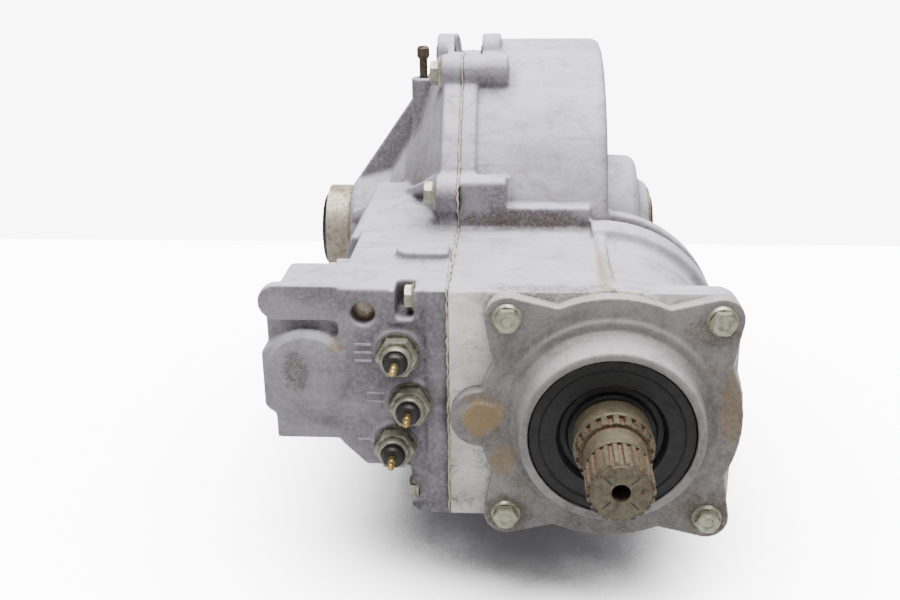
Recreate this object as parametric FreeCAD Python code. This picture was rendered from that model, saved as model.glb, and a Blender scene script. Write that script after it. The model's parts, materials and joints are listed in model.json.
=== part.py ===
import FreeCAD, Part
import math
import os

# Axle drive unit: offset bevel differential with a dog clutch, a shift box and three position switches.
# Millimetres. +X right, +Y to the rear, +Z up. The origin is the centre of the input shaft's front end.

# running and assembly clearances
running_gap = 0.05
fit_gap = 0.02
side_gap = 0.2

# input shaft
spline_teeth = 22
spline_tip_r = 18.0
spline_root_r = 16.2
front_spline_length = 22.0
neck_length = 17.0
neck_r = 17.6
rear_spline_length = 7.0
rear_spline_tip_r = 21.5
rear_spline_root_r = 19.4
rear_spline_teeth = 20
spline_chamfer = 1.6
scribe_width = 0.8
scribe_depth = 0.4
tip_hole_r = 5.0
tip_hole_depth = 24.0
collar_r = 22.5

# front of the unit, measured along the input axis
case_front_y = 90.0
cover_plate = 10.0
cover_boss = 22.0
seal_recess = 2.0
seal_width = 12.0
seal_outer_r = 47.5
seal_stop = 4.0
front_bearing_bore_r = 25.0
front_bearing_outer_r = 45.0
front_bearing_width = 20.0
spigot_r = 55.0
spigot_length = 8.0

# front cover outline
cover_r = 78.0
cover_bolt_x = 59.6
cover_bolt_z = 63.0
cover_lobe_r = 13.0
cover_boss_r = 52.5
cover_base_r = 56.0
cover_side_lobe_x = -74.5
cover_side_lobe_r = 18.0
cover_side_pad_r = 11.0
cover_web_r = 33.0
cover_web_reach = 50.0
cover_step_r = 63.0
cover_step = 1.5

# dog clutch between the input shaft and the pinion shaft
dog_teeth = 24
dog_root_r = 33.0
dog_tip_r = 36.0
dog_gap = 0.35
shoulder_r = 30.0
shoulder_length = 12.0
dog_length = 20.0
dog_space = 4.0
sleeve_r = 48.0
sleeve_length = 26.0
sleeve_groove_r = 42.0
sleeve_groove_width = 9.0
nose_r = 12.0
pilot_wall = 2.0
pilot_length = 22.0

# pinion shaft and its two taper bearings
pinion_front_r = 20.0
pinion_rear_r = 24.0
nut_gap = 1.0
nut_width = 9.0
nut_across = 50.0
pinion_front_outer_r = 42.0
pinion_front_width = 20.0
spacer_length = 20.0
spacer_wall = 5.0
pinion_rear_outer_r = 47.5
pinion_rear_width = 24.0
pinion_neck_r = 28.0
pinion_room_r = 44.0

# offset bevel pair
ring_teeth = 41
pinion_teeth = 10
axle_drop = 31.5
mesh_reach = 104.0
mesh_half_face = 16.0
mesh_addendum = 4.2
mesh_dedendum = 5.6
mesh_backlash = 1.1
mesh_pressure = 20.0
ring_back = 18.0
cap_rim = 16.0
ring_bolt_margin = 11.0
ring_flange_margin = 13.0

# differential
diff_x = -52.0
side_teeth = 16
spider_teeth = 10
diff_module = 4.0
diff_face = 12.0
diff_addendum = 2.9
diff_dedendum = 4.4
diff_backlash = 0.8
root_sink = 1.0
land = 0.03
side_back_wall = 8.0
spider_back_wall = 7.0
rotor_gap = 0.1
cap_flange = 8.0
lock_r = 2.0
washer_thickness = 1.5
cross_pin_r = 8.0
side_bore_r = 15.0
side_spline_r = 16.4
side_spline_teeth = 26
side_hub_r = 22.0
side_hub_length = 16.0
carrier_inner_r = 46.5
carrier_outer_r = 60.0
carrier_flange = 12.0
carrier_journal_r = 27.5
carrier_bearing_outer_r = 45.0
carrier_bearing_width = 20.0
carrier_left_x = -111.0
shim = 3.0
ring_bolt_count = 10
ring_bolt_bite = 11.0

# right case
parting_x = -94.0
sealant = 0.4
case_top_z = 76.0
case_bottom_z = -70.0
case_right_x = 73.0
front_flange = 14.0
corner_r = 15.0
barrel_r = 74.0
barrel_step_y = 167.5
barrel_step = 2.0
barrel_bore_r = 66.0
rib_r = 83.0
front_rib_start = 187.5
front_rib_end = 210.0
rear_rib_start = 224.0
rear_rib_end = 235.0
pinion_nose_r = 52.0
nose_end_y = 308.0
case_wall = 8.0
housing_r = 149.0
housing_right_x = 6.0
housing_edge = 6.0
right_boss_r = 60.0
right_boss_x = 36.0
right_end_x = 46.0
output_seal_r = 30.0
output_seal_bore_r = 19.0
output_seal_width = 10.0
right_seal_x = 50.0
flange_width = 12.0
flange_proud = 4.0
panel_wall_height = 15.0
panel_wall_y = 209.0
panel_wall_thickness = 7.0
panel_rib_x = -1.5
panel_rib_width = 5.0
bolt_boss_r = 13.0
bolt_boss_right_x = -62.0
bolt_boss_left_x = -109.0
bolt_circle_out = 3.0
bolt_angles = (25.7, 63.0, 131.0, 165.0, 200.0, 305.0)
block_back = 60.0
m8_inset = 10.0
m8_spacing = 88.0

# left cover
left_flange_x = -113.0
box_left_x = -158.0
box_bottom_z = -38.0
box_rear_y = 208.0
box_wall = 4.0
box_front_wall = 6.0
box_corner = 14.0
lobe_left_x = -204.5
upper_lobe_r = 11.0
upper_lobe_z = 66.0
lobe_rear_y = 138.0
lower_lobe_r = 27.5
small_block_left_x = -198.0
small_block_bottom_z = -22.0
dome_wall = 7.0
hub_r = 35.0
hub_core_r = 32.0
hub_left_x = -205.0
hub_sleeve_length = 20.0
hub_root_r = 43.0
left_seal_x = -208.0
pad_width = 35.0
pad_start_y = 140.0
pad_end_y = 162.0
pad_height = 6.0
rim_depth = 8.0
box_top_left_x = -194.0
ledge_left_x = -201.0
hump_front_y = 200.0
hump_rear_y = 300.0
hump_height = 11.0
face_step = 2.0
strip_x = -104.0
switch_boss_r = 14.0
body_step = 3.5

# shift mechanism
selector_x = -177.0
selector_z = 22.0
drum_r = 19.0
drum_journal_r = 8.0
drum_length = 66.0
drum_journal_length = 9.0
drum_groove_depth = 5.0
drum_lead = 0.25
finger_thickness = 4.0
finger_reach = 70.5
finger_half = 3.6
rail_x = -143.0
rail_z = 60.0
rail_r = 7.0
rail_length = 88.0
rail_hub_r = 10.0
rail_boss_r = 11.0
rail_web = 12.0
fork_outer_r = 58.0
fork_hub_length = 20.0
follower_pin_r = 3.0
follower_width = 11.0
follower_thickness = 7.0
detent_ball_r = 3.0
detent_lift = 0.8
detent_spring_length = 8.0
detent_boss_x = -170.0
detent_boss_r = 8.0
switch_angles = (15.1, -15.5, -41.0)
switch_radii = (56.0, 63.0, 67.8)
switch_thread_r = 7.0
switch_across = 21.0
switch_hex = 8.0
switch_washer_r = 13.0
switch_washer = 1.5
plunger_r = 3.0
plunger_length = 6.0
plunger_travel = 1.4
crimp = 4.5
crimp_r = 9.0
insulator = 4.5
insulator_r = 7.4
terminal_r = 2.2
terminal_length = 11.0

# ears, foot and fittings
dowel_r = 4.0
dowel_length = 16.0
dowel_angles = (43.0, 183.0)
plug_x = -46.0
plug_r = 8.0
plug_heights = (16.0, -92.0)
ear_y = 335.0
ear_drop = 7.5
ear_r = 15.0
ear_left = (-115.0, -102.0)
ear_right = (-82.0, -68.0)
ear_bore_r = 6.2
bush_wall = 1.5
notch_depth = 11.5
notch_wall = 7.5
notch_angles = (74.0, 122.0)
foot_front_y = 262.0
foot_rear_y = 432.0
post_r = 9.0
foot_left_x = -128.0
foot_right_x = 2.0
foot_drop = 1.0
foot_hole_r = 5.0
foot_height = 16.0
foot_hole_depth = 13.0
foot_spacing_x = 100.0
foot_spacing_y = 140.0
breather_x = -125.0
breather_y = 322.0
breather_drop = 22.3
breather_r = 9.0

# fasteners: shank radius, width across the hexagon, head height, flange radius, flange thickness
m8 = (4.0, 13.0, 6.0, 8.95, 1.6)
m10 = (5.0, 15.0, 8.0, 11.0, 2.0)
oil_plug = (plug_r, 19.0, 9.0, 13.0, 3.0)
cap_bolt = (3.0, 10.0, 4.0, 5.5, 1.0)
detent_screw = (detent_ball_r, 10.0, 4.0, 5.5, 1.0)
head_top_share = 0.47
head_dish = 0.7
m8_length = 42.0
m10_length = 38.0
cover_bolt_length = 28.0
plug_length = 14.0
cap_bolt_length = 21.0

# stations worked out from the sizes above
finger_angle = switch_angles[1]
sleeve_back = drum_lead * (switch_angles[0] - finger_angle)
sleeve_forward = drum_lead * (finger_angle - switch_angles[2])
output_y = case_front_y + 265.0
output_z = axle_drop
ear_z = output_z + housing_r - ear_drop
notch_floor_r = housing_r - notch_depth
breather_top_z = output_z + housing_r - breather_drop
block_end_y = output_y - block_back
ring_bore_r = carrier_outer_r + cap_rim
ring_bolt_circle_r = ring_bore_r + ring_bolt_margin
carrier_flange_r = ring_bolt_circle_r + ring_flange_margin
cover_front_y = case_front_y - cover_plate
boss_front_y = cover_front_y - cover_boss
seal_y = boss_front_y + seal_recess
bearing_y = seal_y + seal_width + seal_stop
bearing_end_y = bearing_y + front_bearing_width
dog_y = bearing_end_y + shoulder_length
clutch_y = dog_y + dog_length + dog_space
clutch_end_y = clutch_y + dog_length
nut_y = clutch_end_y + nut_gap
pinion_front_y = nut_y + nut_width + nut_gap
spacer_y = pinion_front_y + pinion_front_width
pinion_rear_y = spacer_y + spacer_length
neck_y = pinion_rear_y + pinion_rear_width
mesh_y = output_y - mesh_reach
sleeve_y = clutch_y - dog_space / 2 - sleeve_length / 2 - 4.5
groove_mid_y = sleeve_y + sleeve_length / 2
right_face_x = parting_x + sealant / 2
left_face_x = parting_x - sealant / 2

X = FreeCAD.Vector(1, 0, 0)
Y = FreeCAD.Vector(0, 1, 0)
Z = FreeCAD.Vector(0, 0, 1)
input_axis = FreeCAD.Vector(0, 0, 0)
output_axis = FreeCAD.Vector(0, output_y, output_z)

os.makedirs("parts", exist_ok=True)
nodes = {}


def vec(x, y, z):
    return FreeCAD.Vector(x, y, z)


def rod_x(y, z, r, x0, x1):
    return Part.makeCylinder(r, x1 - x0, vec(x0, y, z), X)


def rod_y(x, z, r, y0, y1):
    return Part.makeCylinder(r, y1 - y0, vec(x, y0, z), Y)


def rod_z(x, y, r, z0, z1):
    return Part.makeCylinder(r, z1 - z0, vec(x, y, z0), Z)


def block(x0, x1, y0, y1, z0, z1):
    return Part.makeBox(x1 - x0, y1 - y0, z1 - z0, vec(x0, y0, z0))


def join(shapes):
    whole = shapes[0].multiFuse(shapes[1:]) if len(shapes) > 1 else shapes[0]
    return whole.removeSplitter()


def remove(shape, tools):
    return shape.cut(tools)


def turned(points, centre, axis):
    # solid of revolution; each point is (distance along the axis, radius)
    out = X if axis is not X else Y
    corners = [centre + axis * (a - centre.dot(axis)) + out * r for a, r in points]
    return Part.Face(Part.makePolygon(corners + corners[:1])).revolve(centre, axis, 360)


def plate_y(points, y0, y1):
    # outline in X and Z, thickness along Y
    corners = [vec(x, y0, z) for x, z in points]
    return Part.Face(Part.makePolygon(corners + corners[:1])).extrude(Y * (y1 - y0))


def plate_x(points, x0, x1):
    # outline in Y and Z, thickness along X
    corners = [vec(x0, y, z) for y, z in points]
    return Part.Face(Part.makePolygon(corners + corners[:1])).extrude(X * (x1 - x0))


def star(count, low_r, high_r, low_share, high_share, turn=0.0):
    # outline of a toothed disc as (a, b) pairs, first tooth centred on the a axis
    step = 2 * math.pi / count
    points = []
    for i in range(count):
        mid = i * step + turn
        for r, share in ((low_r, -low_share), (high_r, -high_share), (high_r, high_share),
                         (low_r, low_share)):
            angle = mid + share * step / 2
            points.append((r * math.cos(angle), r * math.sin(angle)))
    return points


def spline_x(points, x0, x1):
    return plate_x([(output_y + a, output_z + b) for a, b in points], x0, x1)


def hexagon(across, height, place, direction):
    r = across / math.sqrt(3)
    corners = [vec(r * math.cos(math.radians(60 * i)), r * math.sin(math.radians(60 * i)),
                   0) for i in range(6)]
    prism = Part.Face(Part.makePolygon(corners + corners[:1])).extrude(Z * height)
    return stand(prism, place, direction)


def stand(shape, place, direction):
    moved = shape.copy()
    moved.Placement = FreeCAD.Placement(place, FreeCAD.Rotation(Z, direction))
    return moved


def bolt(size, place, direction, length):
    # flange bolt; place is under the head, direction points from the shank to the head
    shank_r, across, head, flange_r, flange = size
    corner_r = across / math.sqrt(3)
    top_r = across * head_top_share
    ease = (corner_r - top_r) * math.tan(math.radians(30))
    body = join([
        Part.makeCylinder(shank_r - fit_gap, length, vec(0, 0, -length)),
        Part.makeCone(flange_r, flange_r * 0.86, flange),
        hexagon(across, head, vec(0, 0, 0), Z).common(join([
            Part.makeCylinder(corner_r + 1, head - ease),
            Part.makeCone(corner_r, top_r, ease, vec(0, 0, head - ease)),
        ])),
    ])
    dish = Part.makeCone(across * 0.2, across * 0.3, head_dish, vec(0, 0, head - head_dish))
    return stand(remove(body, [dish]), place, direction)


def tooth(apex, pitch_point, height_way, width_way, profile, toe_share):
    # tapered tooth that runs to the apex; profile is (height from the pitch line, half width) pairs
    right = [pitch_point + height_way * h + width_way * w for h, w in profile]
    left = [pitch_point + height_way * h - width_way * w for h, w in reversed(profile)]
    heel = right + left
    toe = [apex + (p - apex) * toe_share for p in heel]
    wires = [Part.makePolygon(ring + ring[:1]) for ring in (heel, toe)]
    return Part.makeLoft(wires, True, True)


def around(shape, count, centre, axis, start=0.0):
    copies = []
    for i in range(count):
        one = shape.copy()
        one.rotate(centre, axis, start + 360.0 * i / count)
        copies.append(one)
    return copies


def ring_bolt_places(circle_r, angles):
    # angles start at the front of the housing and go up over its top
    return [
        (output_y - circle_r * math.cos(math.radians(a)), output_z + circle_r * math.sin(math.radians(a)))
        for a in angles
    ]


m10_places = ring_bolt_places(housing_r + bolt_circle_out, bolt_angles)
m8_places = [
    (case_front_y + m8_inset, case_top_z - 8.0),
    (case_front_y + m8_inset + 1, case_bottom_z + 13.0),
    (case_front_y + m8_spacing, case_bottom_z + 9.0),
]
cover_bolt_places = [(sx * cover_bolt_x, sz * cover_bolt_z) for sx in (-1, 1) for sz in (-1, 1)]
dowel_places = ring_bolt_places(housing_r - dowel_r + 1, dowel_angles)
foot_mid_x = (foot_left_x + foot_right_x) / 2
foot_bottom_z = output_z - housing_r - flange_proud - foot_drop
room_r = housing_r - case_wall
inner_front_y = case_front_y + box_front_wall
bearing_tube_r = pinion_rear_outer_r + case_wall
pocket_y = pinion_front_y + case_wall
head_y = mesh_y - mesh_half_face
head_end_y = mesh_y + mesh_half_face
rail_front_y = case_front_y + 2.5 + sleeve_back
fork_start_y = groove_mid_y - sleeve_groove_width / 2 + side_gap
fork_width = sleeve_groove_width - 2 * side_gap
follower_y = fork_start_y + fork_hub_length + follower_width / 2 + 1.0
finger_y = inner_front_y + 5.5
drum_y = finger_y + finger_thickness
drum_end_y = drum_y + drum_length
rail_rear_web_y = follower_y + follower_width / 2 + sleeve_forward + 1.5
detent_y = rail_rear_web_y + rail_web / 2
carrier_right_x = housing_right_x - 2.0
carrier_right_end_x = carrier_right_x + carrier_bearing_width
carrier_left_end_x = carrier_left_x - carrier_bearing_width


def keep(name, shape):
    nodes[name] = shape


# cases


def ear(x0, x1):
    eye = rod_x(ear_y, ear_z, ear_r, x0, x1)
    root_z = output_z + housing_r - 14
    root = plate_x([(ear_y - 2 * ear_r, root_z), (ear_y + 2 * ear_r, root_z), (ear_y + ear_r, ear_z),
                    (ear_y - ear_r, ear_z)], x0, x1)
    return join([eye, root])


def top_sector(x0, x1, inner_r, outer_r, spare=0.0):
    # part of a ring over the top of the housing, between the notch's two angles
    low, high = notch_angles[0] - spare, notch_angles[1] + spare
    ring = rod_x(output_y, output_z, outer_r, x0, x1).cut(rod_x(output_y, output_z, inner_r, x0, x1))
    ends = ring_bolt_places(3 * outer_r, (low, high))
    return ring.common(plate_x([(output_y, output_z)] + ends, x0, x1))


def notch():
    # gap between the two hanger ears
    return top_sector(ear_left[1], ear_right[0], notch_floor_r, housing_r + 3 * flange_proud)


def notch_backing(x0, x1):
    return top_sector(x0, x1, notch_floor_r - notch_wall, room_r + 1, 2.0)


def foot_half(x0, x1):
    return block(x0, x1, foot_front_y, foot_rear_y, foot_bottom_z, foot_bottom_z + foot_height)


def foot_holes():
    mid_y = (foot_front_y + foot_rear_y) / 2
    return [
        rod_z(foot_mid_x + sx * foot_spacing_x / 2, mid_y + sy * foot_spacing_y / 2, foot_hole_r,
              foot_bottom_z - 1, foot_bottom_z + foot_hole_depth)
        for sx in (-1, 1) for sy in (-1, 1)
    ]


def plug_span(height):
    # inner and outer end of a plug boss on the rear of the housing
    inner = output_y + math.sqrt(room_r ** 2 - height ** 2) - 2
    outer = output_y + math.sqrt(housing_r ** 2 - height ** 2) + 11
    return inner, outer


def flange_plate():
    end_y = case_front_y + front_flange
    bar = block(right_face_x, case_right_x - corner_r, case_front_y, end_y, case_bottom_z, case_top_z)
    side = block(0, case_right_x, case_front_y, end_y, case_bottom_z + corner_r, case_top_z - corner_r)
    corner_x = case_right_x - corner_r
    corners = [rod_y(corner_x, z, corner_r, case_front_y, end_y)
               for z in (case_top_z - corner_r, case_bottom_z + corner_r)]
    return join([bar, side, rod_y(0, 0, cover_r, case_front_y, end_y)] + corners)


def barrel():
    step_r = barrel_r + barrel_step
    return turned([
        (case_front_y, 0), (case_front_y, barrel_r), (barrel_step_y, barrel_r), (barrel_step_y, step_r),
        (front_rib_start - 3, step_r), (front_rib_start, rib_r - 1), (front_rib_start + 1, rib_r),
        (front_rib_end - 1, rib_r), (front_rib_end, rib_r - 1), (front_rib_end, step_r),
        (rear_rib_start, step_r), (rear_rib_start, rib_r - 1), (rear_rib_start + 1, rib_r),
        (rear_rib_end, rib_r), (rear_rib_end + 8, pinion_nose_r + 8), (rear_rib_end + 16, pinion_nose_r),
        (nose_end_y - 10, pinion_nose_r), (nose_end_y, pinion_nose_r - 12), (nose_end_y, 0),
    ], input_axis, Y)


def right_housing():
    chamfer = housing_edge * 0.3
    return turned([
        (right_face_x, 0), (right_face_x, housing_r + flange_proud),
        (right_face_x + flange_width - 2, housing_r + flange_proud),
        (right_face_x + flange_width, housing_r),
        (housing_right_x - housing_edge, housing_r), (housing_right_x - chamfer, housing_r - chamfer),
        (housing_right_x, housing_r - housing_edge), (housing_right_x + 3, right_boss_r + 4),
        (housing_right_x + 6, right_boss_r), (right_boss_x - 4, right_boss_r - 1),
        (right_boss_x, right_boss_r - 5), (right_boss_x + 2, output_seal_r + 12),
        (right_end_x, output_seal_r + 7), (right_end_x, 0),
    ], output_axis, X)


def right_room():
    wall_x = housing_right_x - case_wall
    return turned([
        (right_face_x, 0), (right_face_x, room_r), (wall_x - 6, room_r), (wall_x, room_r - 8),
        (wall_x, carrier_bearing_outer_r + 14), (carrier_right_x - 2, carrier_bearing_outer_r + 6),
        (carrier_right_x - 2, carrier_bearing_outer_r),
        (carrier_right_end_x + shim, carrier_bearing_outer_r),
        (carrier_right_end_x + shim, output_seal_r - 4),
        (right_end_x - output_seal_width, output_seal_r - 4),
        (right_end_x - output_seal_width, output_seal_r), (right_end_x, output_seal_r), (right_end_x, 0),
    ], output_axis, X)


def right_case():
    outer = join([
        right_housing(), flange_plate(), barrel(),
        block(right_face_x, 0, case_front_y, block_end_y, case_bottom_z, case_top_z),
        block(right_face_x, panel_rib_x - panel_rib_width, panel_wall_y,
              panel_wall_y + panel_wall_thickness,
              case_top_z - 4, case_top_z + panel_wall_height),
        block(panel_rib_x - panel_rib_width / 2, panel_rib_x + panel_rib_width / 2,
              case_front_y + front_flange, panel_wall_y, case_top_z - 24, case_top_z + 3),
        foot_half(right_face_x, foot_right_x), ear(*ear_right),
    ] + [rod_x(y, z, bolt_boss_r, right_face_x, bolt_boss_right_x) for y, z in m10_places])
    room = join([
        right_room(),
        block(right_face_x, -38.0, case_front_y + front_flange, nut_y + nut_width,
              case_bottom_z + case_wall,
              case_top_z - case_wall),
        rod_y(0, 0, barrel_bore_r, case_front_y + spigot_length, nut_y + nut_width),
        rod_y(0, 0, spigot_r, case_front_y, case_front_y + spigot_length),
        rod_y(0, 0, pinion_room_r, neck_y + 1, nose_end_y - case_wall),
        rod_y(0, 0, barrel_bore_r, pocket_y, neck_y + 1),
        block(right_face_x, -bearing_tube_r, pocket_y, output_y - room_r + 10, case_bottom_z + case_wall,
              case_top_z - case_wall),
    ])
    support = rod_y(0, 0, bearing_tube_r, nut_y + nut_width, neck_y + 1)
    posts = [rod_x(y, z, post_r, right_face_x, right_face_x + 32) for y, z in m8_places]
    plugs = [rod_y(plug_x, output_z + h, plug_r + 7, *plug_span(h)) for h in plug_heights]
    holes = [
        rod_y(0, 0, pinion_front_outer_r - 6, nut_y + nut_width - 1, neck_y + 1),
        rod_y(0, 0, pinion_front_outer_r, nut_y + nut_width - 1, spacer_y),
        rod_y(0, 0, pinion_rear_outer_r, pinion_rear_y, neck_y + 1),
        rod_x(ear_y, ear_z, ear_bore_r, ear_right[0] - 1, ear_right[1] + 1),
    ]
    holes += [rod_x(y, z, m10[0], right_face_x - 1, bolt_boss_right_x - 8) for y, z in m10_places]
    holes += [rod_x(y, z, m8[0], right_face_x - 1, right_face_x + 26) for y, z in m8_places]
    holes += [rod_x(y, z, dowel_r, right_face_x - 1, parting_x + dowel_length / 2) for y,
              z in dowel_places]
    holes += [rod_y(x, z, m8[0], case_front_y - 1, case_front_y + 22) for x, z in cover_bolt_places]
    holes += [rod_y(plug_x, output_z + h, plug_r, plug_span(h)[0] - 4, plug_span(h)[1] + 1)
              for h in plug_heights]
    backing = notch_backing(right_face_x, ear_right[0] + notch_wall)
    solid = join([remove(outer, [room]), support, backing] + posts + plugs)
    over_panel = block(right_face_x - 1, panel_rib_x - panel_rib_width, case_front_y + front_flange,
                       panel_wall_y,
                       case_top_z, case_top_z + 3 * panel_wall_height)
    return remove(solid, holes + foot_holes() + [notch(), over_panel])


def shift_box():
    end_y = box_rear_y
    main = plate_y([
        (left_face_x, case_top_z), (box_left_x, case_top_z), (box_left_x, box_bottom_z + box_corner),
        (box_left_x + box_corner, box_bottom_z), (left_flange_x - 4, box_bottom_z),
        (left_flange_x - 4, case_bottom_z + 4), (left_flange_x, case_bottom_z),
        (left_face_x, case_bottom_z),
    ], case_front_y + face_step, end_y)
    strip = block(strip_x, left_face_x, case_front_y, end_y, case_bottom_z, case_top_z)
    bosses = [rod_y(x, z, switch_boss_r, case_front_y, inner_front_y) for x, z in switch_places]
    rim_end_y = case_front_y + 3 + rim_depth
    upper_low = upper_lobe_z - upper_lobe_r
    upper = join([
        rod_y(lobe_left_x + upper_lobe_r, upper_lobe_z, upper_lobe_r, case_front_y + 3, rim_end_y),
        block(lobe_left_x + upper_lobe_r, box_left_x + 1, case_front_y + 3, rim_end_y, upper_low,
              upper_lobe_z + upper_lobe_r),
        plate_y([(box_left_x + 1, upper_low), (box_top_left_x, upper_low),
                 (box_top_left_x, case_top_z - 3),
                 (box_top_left_x + 3, case_top_z), (box_left_x + 1, case_top_z)], case_front_y + 3,
                 lobe_rear_y),
    ])
    lower_rear_y = drum_end_y + drum_journal_length + 4
    body_low = selector_z - lower_lobe_r + 1
    body_high = selector_z + lower_lobe_r - 10
    lower = join([
        rod_y(selector_x, selector_z, lower_lobe_r, case_front_y + body_step, lower_rear_y),
        Part.makeCone(lower_lobe_r - 4, lower_lobe_r - 1, body_step,
                      vec(selector_x, case_front_y, selector_z), Y),
        plate_y([(box_left_x + 1, body_low), (lobe_left_x + 4, body_low), (lobe_left_x, body_low + 4),
                 (lobe_left_x, body_high - 5), (lobe_left_x + 5, body_high), (box_left_x + 1, body_high)],
                case_front_y + body_step, lower_rear_y),
        block(ledge_left_x, box_left_x + 1, case_front_y + 8, lobe_rear_y, selector_z, upper_low + 1),
    ])
    small = block(small_block_left_x, box_left_x + 1, case_front_y + 4, lobe_rear_y, small_block_bottom_z,
                  body_low + 1)
    return join([main, strip, upper, lower, small] + bosses)


def hump():
    # swell behind the box that carries the oil passage up to the housing
    top = case_top_z + hump_height
    along = plate_x([
        (hump_front_y, case_bottom_z + case_wall), (hump_front_y, case_top_z - 4),
        (hump_front_y + 12, case_top_z + 1), (hump_front_y + 35, case_top_z + hump_height * 0.45),
        (hump_front_y + 62, top), (hump_rear_y, top - 3), (hump_rear_y, case_bottom_z + case_wall),
    ], box_left_x - 14, left_face_x - 2)
    across = plate_y([
        (left_face_x - 2, case_bottom_z), (box_left_x + 6, case_bottom_z), (box_left_x - 6, output_z),
        (box_left_x - 12, case_top_z - 20), (box_left_x - 8, case_top_z - 6),
        (box_left_x, case_top_z + hump_height * 0.7),
        (box_left_x + 10, top), (left_face_x - 2, top + 1),
    ], hump_front_y, hump_rear_y)
    return along.common(across)


def box_room():
    inset_left = box_left_x + box_wall
    low = box_bottom_z + box_wall
    main = plate_y([
        (left_face_x, case_top_z - box_wall), (inset_left, case_top_z - box_wall),
        (inset_left, low + box_corner - 2), (inset_left + box_corner - 2, low), (left_flange_x, low),
        (left_flange_x, case_bottom_z + box_wall + 4), (left_face_x, case_bottom_z + box_wall + 4),
    ], inner_front_y, box_rear_y - box_wall)
    room_end_y = drum_end_y + 1
    lobe = rod_y(selector_x, selector_z, lower_lobe_r - 5, inner_front_y, room_end_y)
    neck = block(selector_x, inset_left + 1, inner_front_y, room_end_y, selector_z - 20, selector_z + 20)
    sweep = block(box_left_x - 6, inset_left + 1, inner_front_y, drum_y + 1.5, selector_z - 32,
                  selector_z + 20)
    return join([main, lobe, neck, sweep])


def dome():
    flange_x = left_face_x - flange_width
    return turned([
        (left_face_x, 0), (left_face_x, housing_r + flange_proud), (flange_x, housing_r + flange_proud),
        (flange_x - 2, housing_r - 4), (flange_x - 12, housing_r - 24), (flange_x - 34, hub_root_r + 28),
        (flange_x - 48, hub_root_r + 6), (hub_left_x + hub_sleeve_length + 3, hub_root_r - 2),
        (hub_left_x + hub_sleeve_length, hub_root_r - 5), (hub_left_x + hub_sleeve_length, hub_core_r),
        (hub_left_x, hub_core_r), (hub_left_x, 0),
    ], output_axis, X)


def dome_room():
    flange_x = left_face_x - flange_width
    seat_x = carrier_left_end_x - shim
    hollow = turned([
        (left_face_x, 0), (left_face_x, room_r), (flange_x + 4, room_r), (flange_x - 6, room_r - 22),
        (flange_x - 26, hub_root_r + 28), (flange_x - 26, carrier_bearing_outer_r + 9),
        (carrier_left_x - 1, carrier_bearing_outer_r + 9), (carrier_left_x - 1, carrier_bearing_outer_r),
        (seat_x, carrier_bearing_outer_r), (seat_x, output_seal_r - 4),
        (hub_left_x + output_seal_width, output_seal_r - 4), (hub_left_x + output_seal_width, 0),
    ], output_axis, X)
    return join([hollow, rod_x(output_y, output_z, output_seal_r, hub_left_x,
                               hub_left_x + output_seal_width)])


def gusset(angle):
    # straight rib from the hub to the flange
    flange_x = left_face_x - flange_width
    corners = [
        vec(hub_left_x + hub_sleeve_length + 2, output_y, output_z + hub_root_r - 8),
        vec(hub_left_x + hub_sleeve_length + 2, output_y, output_z + hub_root_r - 3),
        vec(flange_x - 2, output_y, output_z + housing_r - 3),
        vec(flange_x + 4, output_y, output_z + housing_r - 3),
        vec(flange_x + 4, output_y, output_z + hub_root_r - 8),
    ]
    rib = Part.Face(Part.makePolygon(corners + corners[:1])).extrude(Y * 8)
    rib.translate(Y * -4)
    rib.rotate(output_axis, X, angle)
    return rib


def bolt_pocket(margin):
    # recess in the box's top front edge for the first small bolt
    y, z = m8_places[0]
    reach = m8[3] + 0.6 + margin
    return block(left_flange_x - 11 - margin, left_flange_x + margin, case_front_y - 3 + margin,
                 y + reach, z - reach,
                 case_top_z + 3 - margin)


def pad():
    # raised pad with a round end on top of the box
    end_r = (pad_end_y - pad_start_y) / 2
    low = case_top_z - 4
    high = case_top_z + pad_height
    end_x = left_face_x - pad_width + end_r
    return join([
        rod_z(end_x, pad_start_y + end_r, end_r, low, high),
        block(end_x, left_face_x - 2, pad_start_y, pad_end_y, low, high),
    ])


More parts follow.
